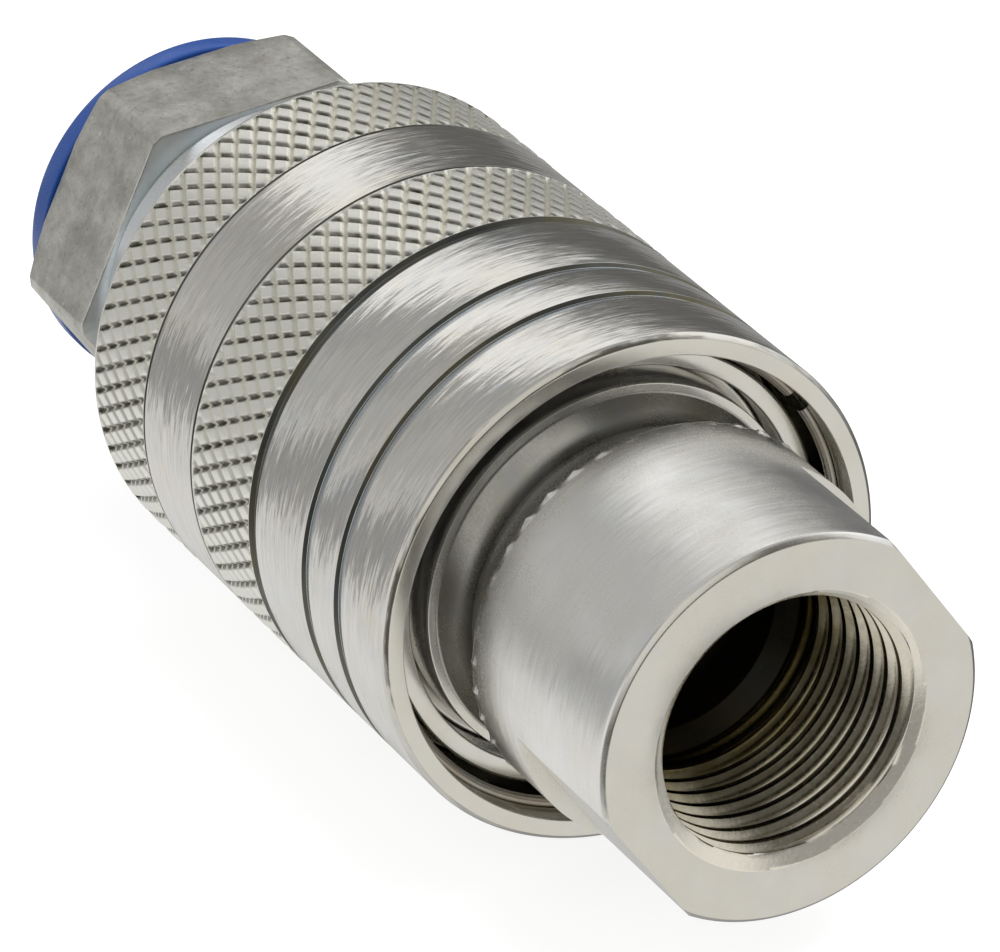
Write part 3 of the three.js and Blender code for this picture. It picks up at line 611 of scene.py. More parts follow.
# Painted shade: nearly black steel for the nipple's deep bore.
BORE_SHADE_STEEL = turned_metal(
    "bore_shade_steel", (0.035, 0.032, 0.027), (0.045, 0.038, 0.025), (0.025, 0.03, 0.035), 0.35,
    mottle=0.2,
)
BODY_STEEL = turned_metal(
    "body_steel", (0.72, 0.71, 0.69), (0.72, 0.69, 0.63), (0.66, 0.69, 0.71), 0.28,
)
# Painted light: a brighter copy of the plating for the front faces of the sleeve and of the body's lip.
LIT_FACE_STEEL = turned_metal(
    "lit_face_steel", (0.93, 0.925, 0.91), (0.92, 0.90, 0.85), (0.88, 0.90, 0.92), 0.22,
    line_height=0.0012, anisotropy=0.2, mottle=0.03,
)
# Painted reflection: a bluish white copy of the body's steel for the barrel's end, between the sleeve
# and the hex.
BARREL_SHEEN_STEEL = turned_metal(
    "barrel_sheen_steel", (0.88, 0.92, 0.96), (0.88, 0.90, 0.92), (0.84, 0.90, 0.96), 0.25,
    mottle=0.03,
)
SHADED_STEEL = turned_metal(
    "shaded_steel", (0.86, 0.91, 0.92), (0.84, 0.88, 0.87), (0.78, 0.87, 0.92), 0.4,
    mottle=0.1,
)
# Painted highlight: a pale copy of the plating along the hex's front edge.
EDGE_HIGHLIGHT_STEEL = turned_metal(
    "edge_highlight_steel", (0.86, 0.86, 0.83), (0.78, 0.76, 0.70), (0.80, 0.84, 0.86), 0.3,
    mottle=0.3, dash=0.3,
)
SPRING_STEEL = turned_metal(
    "spring_steel", (0.50, 0.48, 0.45), (0.52, 0.46, 0.38), (0.42, 0.45, 0.50), 0.3,
    anisotropy=0.0,
)
BALL_STEEL = turned_metal(
    "ball_steel", (0.86, 0.86, 0.86), (0.85, 0.84, 0.82), (0.83, 0.84, 0.86), 0.07,
    line_height=0.0002, anisotropy=0.0, mottle=0.01,
)
THREAD_STEEL = thread_metal()
KNURL_STEEL = knurled_metal()
FORGED_STEEL = rough_metal()
BLUE_PLASTIC = moulded(
    "blue_plastic", (0.013, 0.064, 0.275), (0.010, 0.048, 0.21), 0.30, subsurface=0.1, coat=0.1
)
RUBBER = moulded(
    "nitrile_rubber", (0.018, 0.018, 0.019), (0.03, 0.03, 0.03), 0.55, grain_height=0.006
)
BACKUP_POLYMER = moulded(
    "backup_polymer", (0.80, 0.77, 0.69), (0.74, 0.71, 0.62), 0.45, subsurface=0.2
)


def finish_piece(obj, materials, body, node):
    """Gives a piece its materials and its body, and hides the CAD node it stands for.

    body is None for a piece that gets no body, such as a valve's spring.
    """
    for material in materials:
        obj.data.materials.append(material)
    if body is not None:
        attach(obj, body)
    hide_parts(node)


# ------------------------------------------------------------------ threads and knurls


def thread_rows(start, end, mouth_at_start, angles):
    """Rows of a right-handed internal thread, from end back to start, that follow its helix.

    Each row keeps to one place on the thread's profile, so the crests are smooth lines. Rows
    that would leave the port are held at its ends. Returns the rows and the seam's shift.
    """
    rise = THREAD_PITCH / THREAD_STEPS
    count = int(math.ceil((end - start) / rise)) + THREAD_STEPS
    rows = []
    for i in range(count, -1, -1):
        station = start + i * rise - THREAD_PITCH * angles / (2 * math.pi)
        held = np.clip(station, start, end)
        phase = (i / THREAD_STEPS) % 1.0
        flank = min(max(1.25 - 3.2 * abs(phase - 0.5), 0.0), 1.0)
        root = flank * flank * (3 - 2 * flank)
        from_mouth = (held - start) if mouth_at_start else (end - held)
        from_blind_end = (end - held) if mouth_at_start else (held - start)
        fade = np.clip(from_blind_end / (1.5 * THREAD_PITCH), 0.0, 1.0)
        mouth_slope = (PORT_MOUTH_RADIUS - PORT_RADIUS) / PORT_MOUTH_DEPTH
        cone = PORT_MOUTH_RADIUS - mouth_slope * from_mouth
        rows.append((held, np.maximum(PORT_RADIUS + THREAD_DEPTH * root * fade, cone)))
    return rows, THREAD_STEPS


def groove_distances(station, angles):
    """How far a point lies from the nearest groove of either hand, as a share of their spacing."""
    round_share = angles * KNURL_STARTS / (2 * math.pi)
    along_share = station / KNURL_LEAD
    right = round_share + along_share
    left = round_share - along_share
    return np.abs(right - np.round(right)), np.abs(left - np.round(left))


def groove_depths(station, angles):
    """For each hand of groove, 0 on a diamond's flat top and 1 at the bottom of the V."""
    right, left = groove_distances(station, angles)
    profile = (0.0, 0.1, 0.2, 0.3), (1.0, 0.52, 0.05, 0.0)
    return np.interp(right, *profile), np.interp(left, *profile)


def knurl_rows(start, end, plain_radius, angles):
    """Rows of one knurled band, the two groove depths at their vertices and the quads' splits."""
    step = KNURL_LEAD / KNURL_STEPS
    fade_length = 0.25
    inner = np.arange(math.ceil(start / step + 0.3), math.floor(end / step - 0.3) + 1) * step
    stations = [start, *inner, end]
    half_column = math.pi / len(angles)
    rows, depths, splits = [], [], []
    for i, station in enumerate(stations):
        fade = min(1.0, (station - start) / fade_length, (end - station) / fade_length)
        right_depth, left_depth = groove_depths(station, angles)
        deepest = np.maximum(right_depth, left_depth)
        rows.append((station, plain_radius + fade * (KNURL_CREST - KNURL_DEPTH * deepest)))
        depths.append(np.stack([right_depth, left_depth]) * fade)
        middle = (station + stations[min(i + 1, len(stations) - 1)]) / 2
        right, left = groove_distances(middle, angles + half_column)
        splits.append(left < right)
    return rows, depths, splits[:-1]


# ------------------------------------------------------------------ sleeve


def groove_corners(station, radius, depth, half, floor_half, floor_rounding):
    """A narrow groove with sloping walls and a flat floor."""
    return [
        (station - half, radius, 0.03),
        (station - floor_half, radius - depth, floor_rounding),
        (station + floor_half, radius - depth, floor_rounding),
        (station + half, radius, 0.03),
    ]


def wide_groove(station, radius, depth):
    half = GROOVE_HALF_WIDTH
    return groove_corners(station, radius, depth, half, half - 0.5 * depth, 0.05)


def sleeve_zone(station, radius):
    """The place of a strip's metal in the list of steels that build_sleeve gives the sleeve."""
    # The sleeve's front face takes the steel painted bright as lit.
    if station < SLEEVE_FRONT + 0.02:
        return 5
    if radius > RECESS_RADIUS + 1:
        # Groove walls, the relief groove and the end grooves take steel painted dark as shade; the line
        # grooves' floors keep groove steel.
        if any(abs(station - groove) < GROOVE_HALF_WIDTH for groove in LINE_GROOVES):
            return 2 if radius < SLEEVE_RADIUS - 0.28 else 4
        in_relief = abs(station - RELIEF_STATION) < GROOVE_HALF_WIDTH
        between_knurls = FRONT_KNURL[1] < station < REAR_KNURL[0]
        if in_relief or between_knurls and radius < SLEEVE_RADIUS - 0.06:
            return 4
        for start, end in (FRONT_KNURL, REAR_KNURL):
            if start < station < end:
                return 1
    in_mouth = SLEEVE_FRONT + 0.1 < station < RECESS_END + 0.3
    return 3 if in_mouth and radius < RECESS_RADIUS + 0.6 else 0


def end_groove(station, radius):
    """The fine groove where a knurled band meets the smooth one."""
    return rounded(groove_corners(station, radius, 0.14, 0.16, 0.07, 0.03))


def build_sleeve():
    front, rear, radius = span("grip_sleeve")
    angles = even_angles(KNURL_STARTS * KNURL_STEPS)
    chamber, guide, ring_groove, rear_rim = 16.6, 13.9, 18.0, 18.1
    nose = rounded([
        (front, RECESS_RADIUS, 0.12),
        (front, radius - 0.35, 0.12),
        (front + 0.35, radius, 0.15),
        *[corner for station in LINE_GROOVES for corner in wide_groove(station, radius, 0.3)],
        *wide_groove(RELIEF_STATION, radius, 0.38),
        (FRONT_KNURL[0], radius, 0.0),
    ])[:-1]
    middle = end_groove(FRONT_KNURL[1] + 0.2, radius)
    middle += [(s, radius) for s in np.linspace(FRONT_KNURL[1] + 0.5, REAR_KNURL[0] - 0.5, 12)]
    middle += end_groove(REAR_KNURL[0] - 0.2, radius)
    chamber_front, lock_ramp_end, ring_groove_front, ring_groove_rear = 46.3, 38.84, 23.4, 24.6
    inside = rounded([
        (rear - 1.15, radius, 0.25),
        (rear, rear_rim, 0.2),
        (rear, chamber, 0.15),
        (chamber_front, chamber, 0.3),
        (chamber_front, guide, 0.1),
        (lock_ramp_end, guide, 0.3),
        (RECESS_END, 15.95, 0.1),
        (RECESS_END, RECESS_RADIUS, 0.25),
        (ring_groove_rear, RECESS_RADIUS, 0.04),
        (ring_groove_rear, ring_groove, 0.05),
        (ring_groove_front, ring_groove, 0.05),
        (ring_groove_front, RECESS_RADIUS, 0.04),
    ])
    front_rows, front_depths, front_splits = knurl_rows(*FRONT_KNURL, radius, angles)
    rear_rows, rear_depths, rear_splits = knurl_rows(*REAR_KNURL, radius, angles)
    rows = nose + front_rows + middle + rear_rows + inside
    rear_start = len(nose) + len(front_rows) + len(middle)
    diagonals = {len(nose) + i: split for i, split in enumerate(front_splits)}
    diagonals.update({rear_start + i: split for i, split in enumerate(rear_splits)})
    sleeve = solid_of_rows("sleeve_shell", rows, angles, pick_zone=sleeve_zone, diagonals=diagonals)
    plain = [np.zeros((2, len(angles)))]
    depths = plain * len(nose) + front_depths + plain * len(middle) + rear_depths
    depths += plain * len(inside)
    for name, values in zip(("right_groove", "left_groove"), np.concatenate(depths, axis=1)):
        attribute = sleeve.data.attributes.new(name, "FLOAT", "POINT")
        attribute.data.foreach_set("value", values.astype(np.float32))
    steels = [SLEEVE_STEEL, KNURL_STEEL, GROOVE_STEEL, RECESS_STEEL, GROOVE_SHADE_STEEL, LIT_FACE_STEEL]
    finish_piece(sleeve, steels, "sleeve", "grip_sleeve")


def build_mouth_ring():
    front, rear, _ = span("mouth_wire_ring")
    gap_angle, half_gap = math.radians(31), math.radians(3)
    angles = np.linspace(gap_angle + half_gap, gap_angle + 2 * math.pi - half_gap, 240)
    x = FRONT_X / MM - (front + rear) / 2
    points = [(x, MOUTH_RING_RADIUS * math.cos(a), MOUTH_RING_RADIUS * math.sin(a)) for a in angles]
    ring = swept_wire("mouth_ring_wire", points, 0.49)
    finish_piece(ring, [SPRING_STEEL], "sleeve_ring", "mouth_wire_ring")


# ------------------------------------------------------------------ nipple


def flat_limited(radius, angles, limited):
    """The radius, cut down to the two wrench flats where limited is true."""
    if not limited:
        return np.broadcast_to(radius, len(angles)).astype(float)
    result = np.full(len(angles), float(radius))
    for degrees in NIPPLE_FLAT_ANGLES:
        across = np.cos(angles - math.radians(degrees))
        limit = np.where(across > 0.5, NIPPLE_FLAT_DISTANCE / np.maximum(across, 0.5), 1e3)
        result = np.minimum(result, limit)
    return result


def nipple_angles(radius):
    """Even columns, plus exact ones where the flats meet the round outside."""
    edge = math.degrees(math.acos(NIPPLE_FLAT_DISTANCE / radius))
    columns = list(np.arange(0, 360, 1.5))
    for degrees in NIPPLE_FLAT_ANGLES:
        for side in (-1, 1):
            corner = degrees + side * edge
            columns = [c for c in columns if abs((c - corner + 180) % 360 - 180) > 0.8]
            columns += [(corner + offset) % 360 for offset in (-0.35, 0.0, 0.35)]
    return np.radians(np.array(sorted(columns)))


def edge_burrs(angles):
    """Height in millimetres of the small burrs and dents on the head's rear edge."""
    wave = np.sin(97 * angles) * np.sin(61 * angles + 1.3) + 0.5 * np.sin(41 * angles + 2)
    return 0.16 * np.clip(wave - 0.35, 0.0, 1.0) - 0.10 * np.clip(-wave - 0.55, 0.0, 1.0)


def nipple_zone(station, radius):
    """The place of a strip's metal in the list of steels that build_nipple gives the nipple."""
    if station < PORT_DEPTH and radius < PORT_MOUTH_RADIUS - 0.02:
        return 1
    # Behind the head, the neck keeps neck steel, and the cone and collar face take steel painted darker
    # as shade.
    behind_head = HEAD_END + 0.1 < station < COLLAR_START + 0.05
    if behind_head and NECK_RADIUS - 0.2 < radius < NECK_RADIUS + 1.7:
        return 4 if station > CONE_START else 2
    # The bore behind the port, zone 3, is painted nearly black as shade.
    return 3 if radius < PORT_RADIUS + 0.05 else 0


def build_nipple():
    front, rear, collar_radius = span("nipple_body")
    radius, nose, ball_groove = collar_radius - 0.05, 10.2, 8.7
    outlet, valve_bore, guide_bore, ring_groove = 5.6, 7.5, 8.0, 8.7
    collar_end, guide_end, ring_front, ring_rear = 27.9, 25.5, 21.5, 22.7
    angles = nipple_angles(radius)
    burr_stations = (BURRS_START + offset for offset in (-0.15, 0.0, 0.18, 0.36))
    outside = rounded([
        (front, PORT_MOUTH_RADIUS, 0.08),
        (front, radius - 0.35, 0.1),
        (front + 0.35, radius, 0.12),
        *[(station, radius, 0.0) for station in (front + 0.9, NIPPLE_FLAT_END, *burr_stations)],
        (HEAD_END - 0.2, radius - 0.03, 0.0),
        (HEAD_END, radius - 0.25, 0.1),
        (HEAD_END, NECK_RADIUS, 0.5),
        (COLLAR_START - 1.6, NECK_RADIUS, 1.2),
        (COLLAR_START, 13.6, 0.12),
        (COLLAR_START, collar_radius, 0.12),
        (collar_end, collar_radius, 0.25),
        (collar_end, nose, 0.3),
        (31.5, nose, 0.2),
        (33.0, ball_groove, 0.4),
        (36.0, ball_groove, 0.4),
        (37.5, nose, 0.2),
        (rear - 0.8, nose, 0.3),
        (rear, nose - 0.8, 0.3),
        (rear, outlet, 0.2),
        (47.4, outlet, 0.2),
        (45.5, valve_bore, 0.2),
        (guide_end, valve_bore, 0.1),
        (guide_end, guide_bore, 0.05),
        (ring_rear, guide_bore, 0.05),
        (ring_rear, ring_groove, 0.05),
        (ring_front, ring_groove, 0.05),
        (ring_front, guide_bore, 0.05),
        (PORT_DEPTH + 1.3, guide_bore, 0.2),
    ])
    burrs = edge_burrs(angles)
    rows = []
    for station, r in outside[5:]:  # the first corner's curve belongs to the thread's mouth
        on_flats = r > NECK_RADIUS + 0.5 and station <= NIPPLE_FLAT_END
        on_burrs = r > NECK_RADIUS + 1 and BURRS_START + 0.1 < station < HEAD_END - 0.05
        rows.append((station, flat_limited(r, angles, on_flats) + (burrs if on_burrs else 0.0)))
        if on_flats and station == NIPPLE_FLAT_END:
            rows.append((station + 0.02, flat_limited(r, angles, True)))
            rows.append((station + 0.04, flat_limited(r, angles, False)))
    thread, shift = thread_rows(front, PORT_DEPTH, True, angles)
    seam = (len(rows), len(rows) + len(thread) - 1, shift)
    nipple = solid_of_rows("nipple_shell", rows + thread, angles, pick_zone=nipple_zone, seam=seam)
    steels = [NIPPLE_STEEL, THREAD_STEEL, NECK_STEEL, BORE_SHADE_STEEL, CONE_SHADE_STEEL]
    finish_piece(nipple, steels, "nipple", "nipple_body")


# ------------------------------------------------------------------ coupler body


def body_zone(station, radius):
    """0 plain steel, 1 the lip in the sleeve's mouth, painted bright as lit, 2 the barrel's end, painted
    with a bluish white reflection.
    """
    if station < LIP_END + 0.1 and radius > BARREL_RADIUS + 1:
        return 1
    return 2 if station > BARREL_SHEEN_START and radius > BARREL_RADIUS - 1.2 else 0


def build_body():
    front, rear, lip = span("coupler_body")
    mouth, socket, chamber, seat, wide_bore = 15.1, 10.35, 11.6, 8.0, 12.4
    socket_front, socket_rear, seal_front, seal_rear = 28.4, 50.6, 39.8, 44.4
    clip_front, clip_rear, clip_groove, chamber_rear = 63.4, 64.7, 13.2, 65.6
    outline = rounded([
        (front, mouth, 0.15),
        (front, lip, 0.25),
        (LIP_END, lip, 0.3),
        (LIP_END, BARREL_RADIUS, 0.2),
        (clip_front, BARREL_RADIUS, 0.05),
        (clip_front, clip_groove, 0.05),
        (clip_rear, clip_groove, 0.05),
        (clip_rear, BARREL_RADIUS, 0.05),
        (rear - 0.8, BARREL_RADIUS, 0.25),
        (rear, BARREL_RADIUS - 0.8, 0.1),
        (rear, wide_bore, 0.1),
        (chamber_rear, wide_bore, 0.1),
        (chamber_rear, chamber, 0.1),
        (54.5, chamber, 0.3),
        (52.0, seat, 0.15),
        (socket_rear, seat, 0.1),
        (socket_rear, socket, 0.2),
        (seal_rear, socket, 0.1),
        (seal_rear, wide_bore, 0.2),
        (seal_front, wide_bore, 0.2),
        (seal_front, socket, 0.1),
        (socket_front, socket, 0.2),
        (socket_front, mouth, 0.3),
    ])
    half_column = math.pi / BODY_COLUMNS  # keeps the balls' holes clear of the mesh's columns
    body = solid_of_rows("coupler_shell", outline, even_angles(BODY_COLUMNS) + half_column)
    for angle in even_angles(BALL_COUNT):
        cut(body, radial_cylinder("hole_tool", BALL_HOLE_RADIUS, 9.0, 21.0, BALL_STATION, angle))
    steels = [BODY_STEEL, LIT_FACE_STEEL, BARREL_SHEEN_STEEL]
    finish_piece(body, steels, "coupler", "coupler_body")
    for face in body.data.polygons:
        x, y, z = face.center / MM
        face.material_index = body_zone(FRONT_X / MM - x, math.hypot(y, z))


def radial_cylinder(name, radius, inner, outer, station, angle):
    """A cylinder that points away from the axis, between two distances from it."""
    sides = even_angles(32)
    x = FRONT_X / MM - station
    outward = np.array((0.0, math.cos(angle), math.sin(angle)))
    across = np.array((0.0, -math.sin(angle), math.cos(angle)))
    vertices = []
    for distance in (inner, outer):
        for a in sides:
            place = outward * distance + across * radius * math.sin(a)
            vertices.append((place + (x + radius * math.cos(a), 0, 0)) * MM)
    count = len(sides)
    faces = [list(range(count)), list(range(2 * count - 1, count - 1, -1))]
    faces += [[i, (i + 1) % count, (i + 1) % count + count, i + count] for i in range(count)]
    return mesh_object(name, vertices, faces)


# ------------------------------------------------------------------ hex adapter


def hex_angles(flat, corner):
    """Columns round the hex, with exact ones where its turned surfaces meet the flats."""
    turned_edge = 30 - math.degrees(math.acos(flat / corner))
    chamfer_edge = 30 - math.degrees(math.acos(flat / HEX_REAR_CHAMFER_RADIUS))
    offsets = [0.0, turned_edge * 0.5, turned_edge, turned_edge + 0.4, 2.4, 3.4, 5, 7, 9.5, 12, 14.5]
    offsets += [chamfer_edge, 18, 21, 24, 27, 30]
    columns = []
    for k in range(6):
        for offset in offsets:
            columns += [60 * k + offset, 60 * k - offset]
    return np.radians(np.array(sorted(set(round(c % 360, 6) for c in columns))))


def adapter_zone(station, radius):
    """0 plating, 1 thread, 2 the front face, 3 the front edge, painted bright as a highlight."""
    if station > ADAPTER_THREAD_START + 0.3 and radius < PORT_MOUTH_RADIUS:
        return 1
    behind_front = station - ADAPTER_FRONT
    if -0.1 < behind_front < 0.01:
        return 2
    return 3 if 0.01 < behind_front < ADAPTER_EDGE else 0


def build_adapter():
    _, rear, _ = span("hex_adapter")
    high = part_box("hex_adapter")[1]
    corner, flat = high.y / MM, high.z / MM
    front, edge = ADAPTER_FRONT, ADAPTER_EDGE
    spigot, seal_groove, inlet = 12.2, 10.9, 8.6
    spigot_front, seal_front, seal_rear = 68.3, 70.2, 72.2
    angles = hex_angles(flat, corner)
    from_flat = np.radians(30 - np.abs(np.degrees(angles) % 60))
    hexagon = np.minimum(flat / np.cos(from_flat), corner)
    chamfered = np.minimum(hexagon, HEX_REAR_CHAMFER_RADIUS)
    chamfer_start = rear - (hexagon - chamfered) * HEX_CHAMFER_SLOPE
    rows = rounded([
        (spigot_front, inlet + 1.0, 0.2),
        (spigot_front, spigot, 0.3),
        (seal_front, spigot, 0.05),
        (seal_front, seal_groove, 0.1),
        (seal_rear, seal_groove, 0.1),
        (seal_rear, spigot, 0.05),
        (front, spigot, 0.05),
    ])[5:]
    rows += [
        (front, hexagon - edge),
        (front + 0.3 * edge, hexagon - 0.3 * edge),
        (front + edge, hexagon),
        *[(front + share * (chamfer_start - front), hexagon) for share in (0.25, 0.5, 0.75)],
        (chamfer_start - edge, hexagon),
        (chamfer_start - 0.4 * edge, hexagon - 0.2 * edge),
        ((chamfer_start + rear) / 2 - 0.1 * edge, (hexagon + chamfered) / 2 - 0.3 * edge),
        (rear - 0.1 * edge, chamfered - 0.4 * edge),
        (rear, chamfered - edge),
        (rear, 12.0),
        (rear, PORT_MOUTH_RADIUS + 0.3),
    ]
    thread, shift = thread_rows(ADAPTER_THREAD_START, rear, False, angles)
    seam = (len(rows), len(rows) + len(thread) - 1, shift)
    rows += thread
    rows += rounded([
        (ADAPTER_THREAD_START - 0.8, inlet, 0.1),
        (spigot_front, inlet, 0.2),
        (spigot_front, inlet + 0.8, 0.05),
    ])[:-3]
    adapter = solid_of_rows("adapter_hex", rows, angles, pick_zone=adapter_zone, seam=seam)
    steels = [FORGED_STEEL, THREAD_STEEL, SHADED_STEEL, EDGE_HIGHLIGHT_STEEL]
    finish_piece(adapter, steels, "coupler", "hex_adapter")


def build_plug():
    front, rear, flange = span("port_plug")
    skirt, wall = 9.1, 1.5
    flange_front = span("hex_adapter")[1] + 0.3
    plug = turned_solid("dust_plug", [
        (front, 0.0, 0.0),
        (front, skirt - 0.5, 0.3),
        (front + 0.5, skirt, 0.3),
        (flange_front, skirt, 0.1),
        (flange_front, flange, 0.25),
        (rear, flange, 0.4),
        (rear, skirt - wall, 0.4),
        (front + wall + 0.6, skirt - wall - 0.2, 0.5),
        (front + wall, 2.0, 0.3),
        (front + wall + 0.4, 1.2, 0.2),
        (front + wall + 0.4, 0.0, 0.0),
    ], 160)
    finish_piece(plug, [BLUE_PLASTIC], "plug", "port_plug")


# ------------------------------------------------------------------ small internals


def build_o_ring(name, node, mean_radius, section, body):
    """An O-ring with the faint moulding flash round its inside and outside."""
    front, rear, _ = span(node)
    centre = (front + rear) / 2
    rows = []
    for angle in even_angles(20):
        reach = section + 0.012 * (abs(math.sin(angle)) < 0.01)
        rows.append((centre + reach * math.sin(angle), mean_radius + reach * math.cos(angle)))
    ring = solid_of_rows(name, rows, even_angles(120))
    finish_piece(ring, [RUBBER], body, node)


def square_ring(name, node, inner, outer, rounding):
    """A ring of rectangular section, as long as its CAD node."""
    front, rear, _ = span(node)
    return turned_ring(name, [
        (front, inner, 0.15),
        (front, outer, rounding),
        (rear, outer, rounding),
        (rear, inner, 0.15),
    ])


def build_seals():
    for name, node, radius, section, body in (
        ("nose_seal", "nose_o_ring", 11.35, 0.92, "coupler"),
        ("adapter_seal", "adapter_o_ring", 11.65, 0.65, "coupler"),
        ("nipple_valve_seal", "nipple_poppet_seal", 5.98, 0.5, "nipple_valve"),
        ("coupler_valve_seal", "coupler_poppet_seal", 8.5, 0.52, "coupler_valve"),
    ):
        build_o_ring(name, node, radius, section, body)
    outer = span("nose_backup_ring")[2]
    backup = square_ring("backup_seal_ring", "nose_backup_ring", 10.45, outer, 0.15)
    finish_piece(backup, [BACKUP_POLYMER], "coupler", "nose_backup_ring")


def build_springs():
    """The sleeve's spring goes on the coupler body; the valves' springs get no body."""
    coil, _, rear_end = build_coil("sleeve_coil", "sleeve_spring", 15.2, 0.75, 3, "coupler")
    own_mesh(coil)
    coil, front_end, rear_end = build_coil("coupler_valve_coil", "coupler_poppet_spring", 3.3, 0.5, 2)
    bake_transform(coil)
    coil, front_end, rear_end = build_coil("nipple_valve_coil", "nipple_poppet_spring", 3.3, 0.5, 6)
    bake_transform(coil)


def build_coil(name, node, radius, wire, turns, body=None):
    """Makes a spring and returns it with the points where it starts and ends."""
    front, rear, _ = span(node)
    coil = swept_wire(name, coil_points(radius, front, rear, wire, turns), wire)
    finish_piece(coil, [SPRING_STEEL], body, node)
    return coil, (FRONT_X - front * MM, 0, 0), (FRONT_X - rear * MM, 0, 0)


def build_balls():
    radius = BALL_RADIUS * MM
    meridian = np.linspace(0, math.pi, 25)[1:-1]
    columns = even_angles(48)
    count, last = len(columns), len(meridian) - 1
    for i in range(1, BALL_COUNT + 1):
        low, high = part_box(f"locking_ball_{i}")
        centre = np.array((low + high) / 2)
        vertices = []
        for m in meridian:
            for a in columns:
                outward = (math.cos(m), math.sin(m) * math.cos(a), math.sin(m) * math.sin(a))
                vertices.append(centre + radius * np.array(outward))
        first_pole = len(vertices)
        vertices += [centre + (radius, 0, 0), centre - (radius, 0, 0)]
        faces = [face for row in range(last) for face in strip_faces(row, row + 1, count).tolist()]
        faces += fan_faces(0, first_pole, count)[:, [1, 0, 2]].tolist()
        faces += fan_faces(last, first_pole + 1, count).tolist()
        ball = mesh_object(f"lock_ball_{i}", vertices, faces)
        finish_piece(ball, [BALL_STEEL], f"ball_{i}", f"locking_ball_{i}")


def build_nipple_valve():
    stem, head, seal_groove, tip = 1.9, 6.4, 5.4, 1.6
    valve = turned_solid("nipple_valve_poppet", [
        (20.5, 0.0, 0.0),
        (20.5, tip, 0.15),
        (20.8, stem, 0.1),
        (40.5, stem, 0.3),
        (40.5, head, 0.15),
        (41.0, head, 0.1),
        (41.0, seal_groove, 0.1),
        (42.2, seal_groove, 0.1),
        (42.2, head, 0.1),
        (42.5, head, 0.1),
        (43.4, 5.6, 0.2),
        (44.4, 2.0, 0.5),
        (49.45, 2.0, 0.1),
        (49.85, tip, 0.15),
        (49.85, 0.0, 0.0),
    ], 96)
    finish_piece(valve, [BODY_STEEL], "nipple_valve", "nipple_poppet")


def build_coupler_valve():
    stem, head, seal_groove, tip = 1.9, 9.0, 7.9, 1.6
    valve = turned_solid("coupler_valve_poppet", [
        (50.15, 0.0, 0.0),
        (50.15, tip, 0.15),
        (50.55, 2.0, 0.1),
        (54.6, 2.0, 0.5),
        (56.1, 8.2, 0.3),
        (56.7, head, 0.1),
        (57.0, head, 0.1),
        (57.0, seal_groove, 0.1),
        (58.2, seal_groove, 0.1),
        (58.2, head, 0.1),
        (59.0, head, 0.15),
        (59.0, stem, 0.3),
        (70.2, stem, 0.1),
        (70.5, tip, 0.15),
        (70.5, 0.0, 0.0),
    ], 96)
    finish_piece(valve, [BODY_STEEL], "coupler_valve", "coupler_poppet")


def arc(radius, start, end, count):
    return [(radius * math.cos(a), radius * math.sin(a)) for a in np.linspace(start, end, count)]


def build_guide(name, node, rim_inner, body):
    """A stamped valve guide: a disc with a hub bore and three kidney windows."""
    front, rear, radius = span(node)
    hub_bore, hub, spoke_half, sixth = 2.1, 4.2, 1.1, math.radians(60)
    guide = square_ring(name, node, hub_bore, radius, 0.2)
    outer_half, inner_half = sixth - spoke_half / rim_inner, sixth - spoke_half / hub
    for k in range(3):
        middle = math.radians(60 + 120 * k)
        outline = arc(rim_inner, middle - outer_half, middle + outer_half, 28)
        outline += arc(hub, middle + inner_half, middle - inner_half, 16)
        cut(guide, prism("window_tool", outline, front - 1, rear + 1))
    finish_piece(guide, [BODY_STEEL], body, node)


def build_snap_ring(name, node, inner, outer, half_gap_degrees, body):
    front, rear, _ = span(node)
    half_gap = math.radians(half_gap_degrees)
    outline = arc(outer, half_gap, 2 * math.pi - half_gap, 120)
    outline += arc(inner, 2 * math.pi - half_gap, half_gap, 120)
    ring = prism(name, outline, front, rear)
    finish_piece(ring, [SPRING_STEEL], body, node)


def build_rings():
    build_guide("nipple_valve_guide", "nipple_poppet_guide", 6.4, "nipple")
    build_guide("coupler_valve_guide", "coupler_poppet_guide", 9.8, "coupler")
    build_snap_ring("guide_snap_ring", "nipple_guide_ring", 7.1, 8.6, 14, "nipple")
    build_snap_ring("barrel_snap_ring", "spring_circlip", 13.3, 15.3, 8, "coupler")
    washer = square_ring("spring_seat_washer", "spring_washer", 13.9, 16.3, 0.3)
    finish_piece(washer, [BODY_STEEL], "coupler", "spring_washer")


build_sleeve()
build_mouth_ring()
build_nipple()
build_body()
build_adapter()
build_plug()
build_seals()
build_springs()
build_balls()
build_nipple_valve()
build_coupler_valve()
build_rings()

# ------------------------------------------------------------------ floor, light and camera


def build_floor():
    """Pale paper that glows a little, so that only a faint shadow stays under the coupler."""
    height = cad_box[0].z - 0.2 * MM
    corners = [(x * FLOOR_SIZE, y * FLOOR_SIZE, height) for x, y in ((-1, -1), (1, -1), (1, 1), (-1, 1))]
    mesh = bpy.data.meshes.new("floor")
    mesh.from_pydata(corners, [], [(0, 1, 2, 3)])
    floor = bpy.data.objects.new("floor", mesh)
    bpy.context.scene.collection.objects.link(floor)
    s = Shader("floor_paper")
    cloud = s.noise(s.place(1.0), 3.0)
    color = s.mix(cloud, rgba(0.30, 0.30, 0.30), rgba(0.32, 0.32, 0.32))
    s.set(Base_Color=color, Roughness=0.9, Emission_Strength=FLOOR_GLOW)
    s.set(Emission_Color=rgba(1.0, 1.0, 1.0))
    floor.data.materials.append(s.material)
    floor.visible_glossy = False


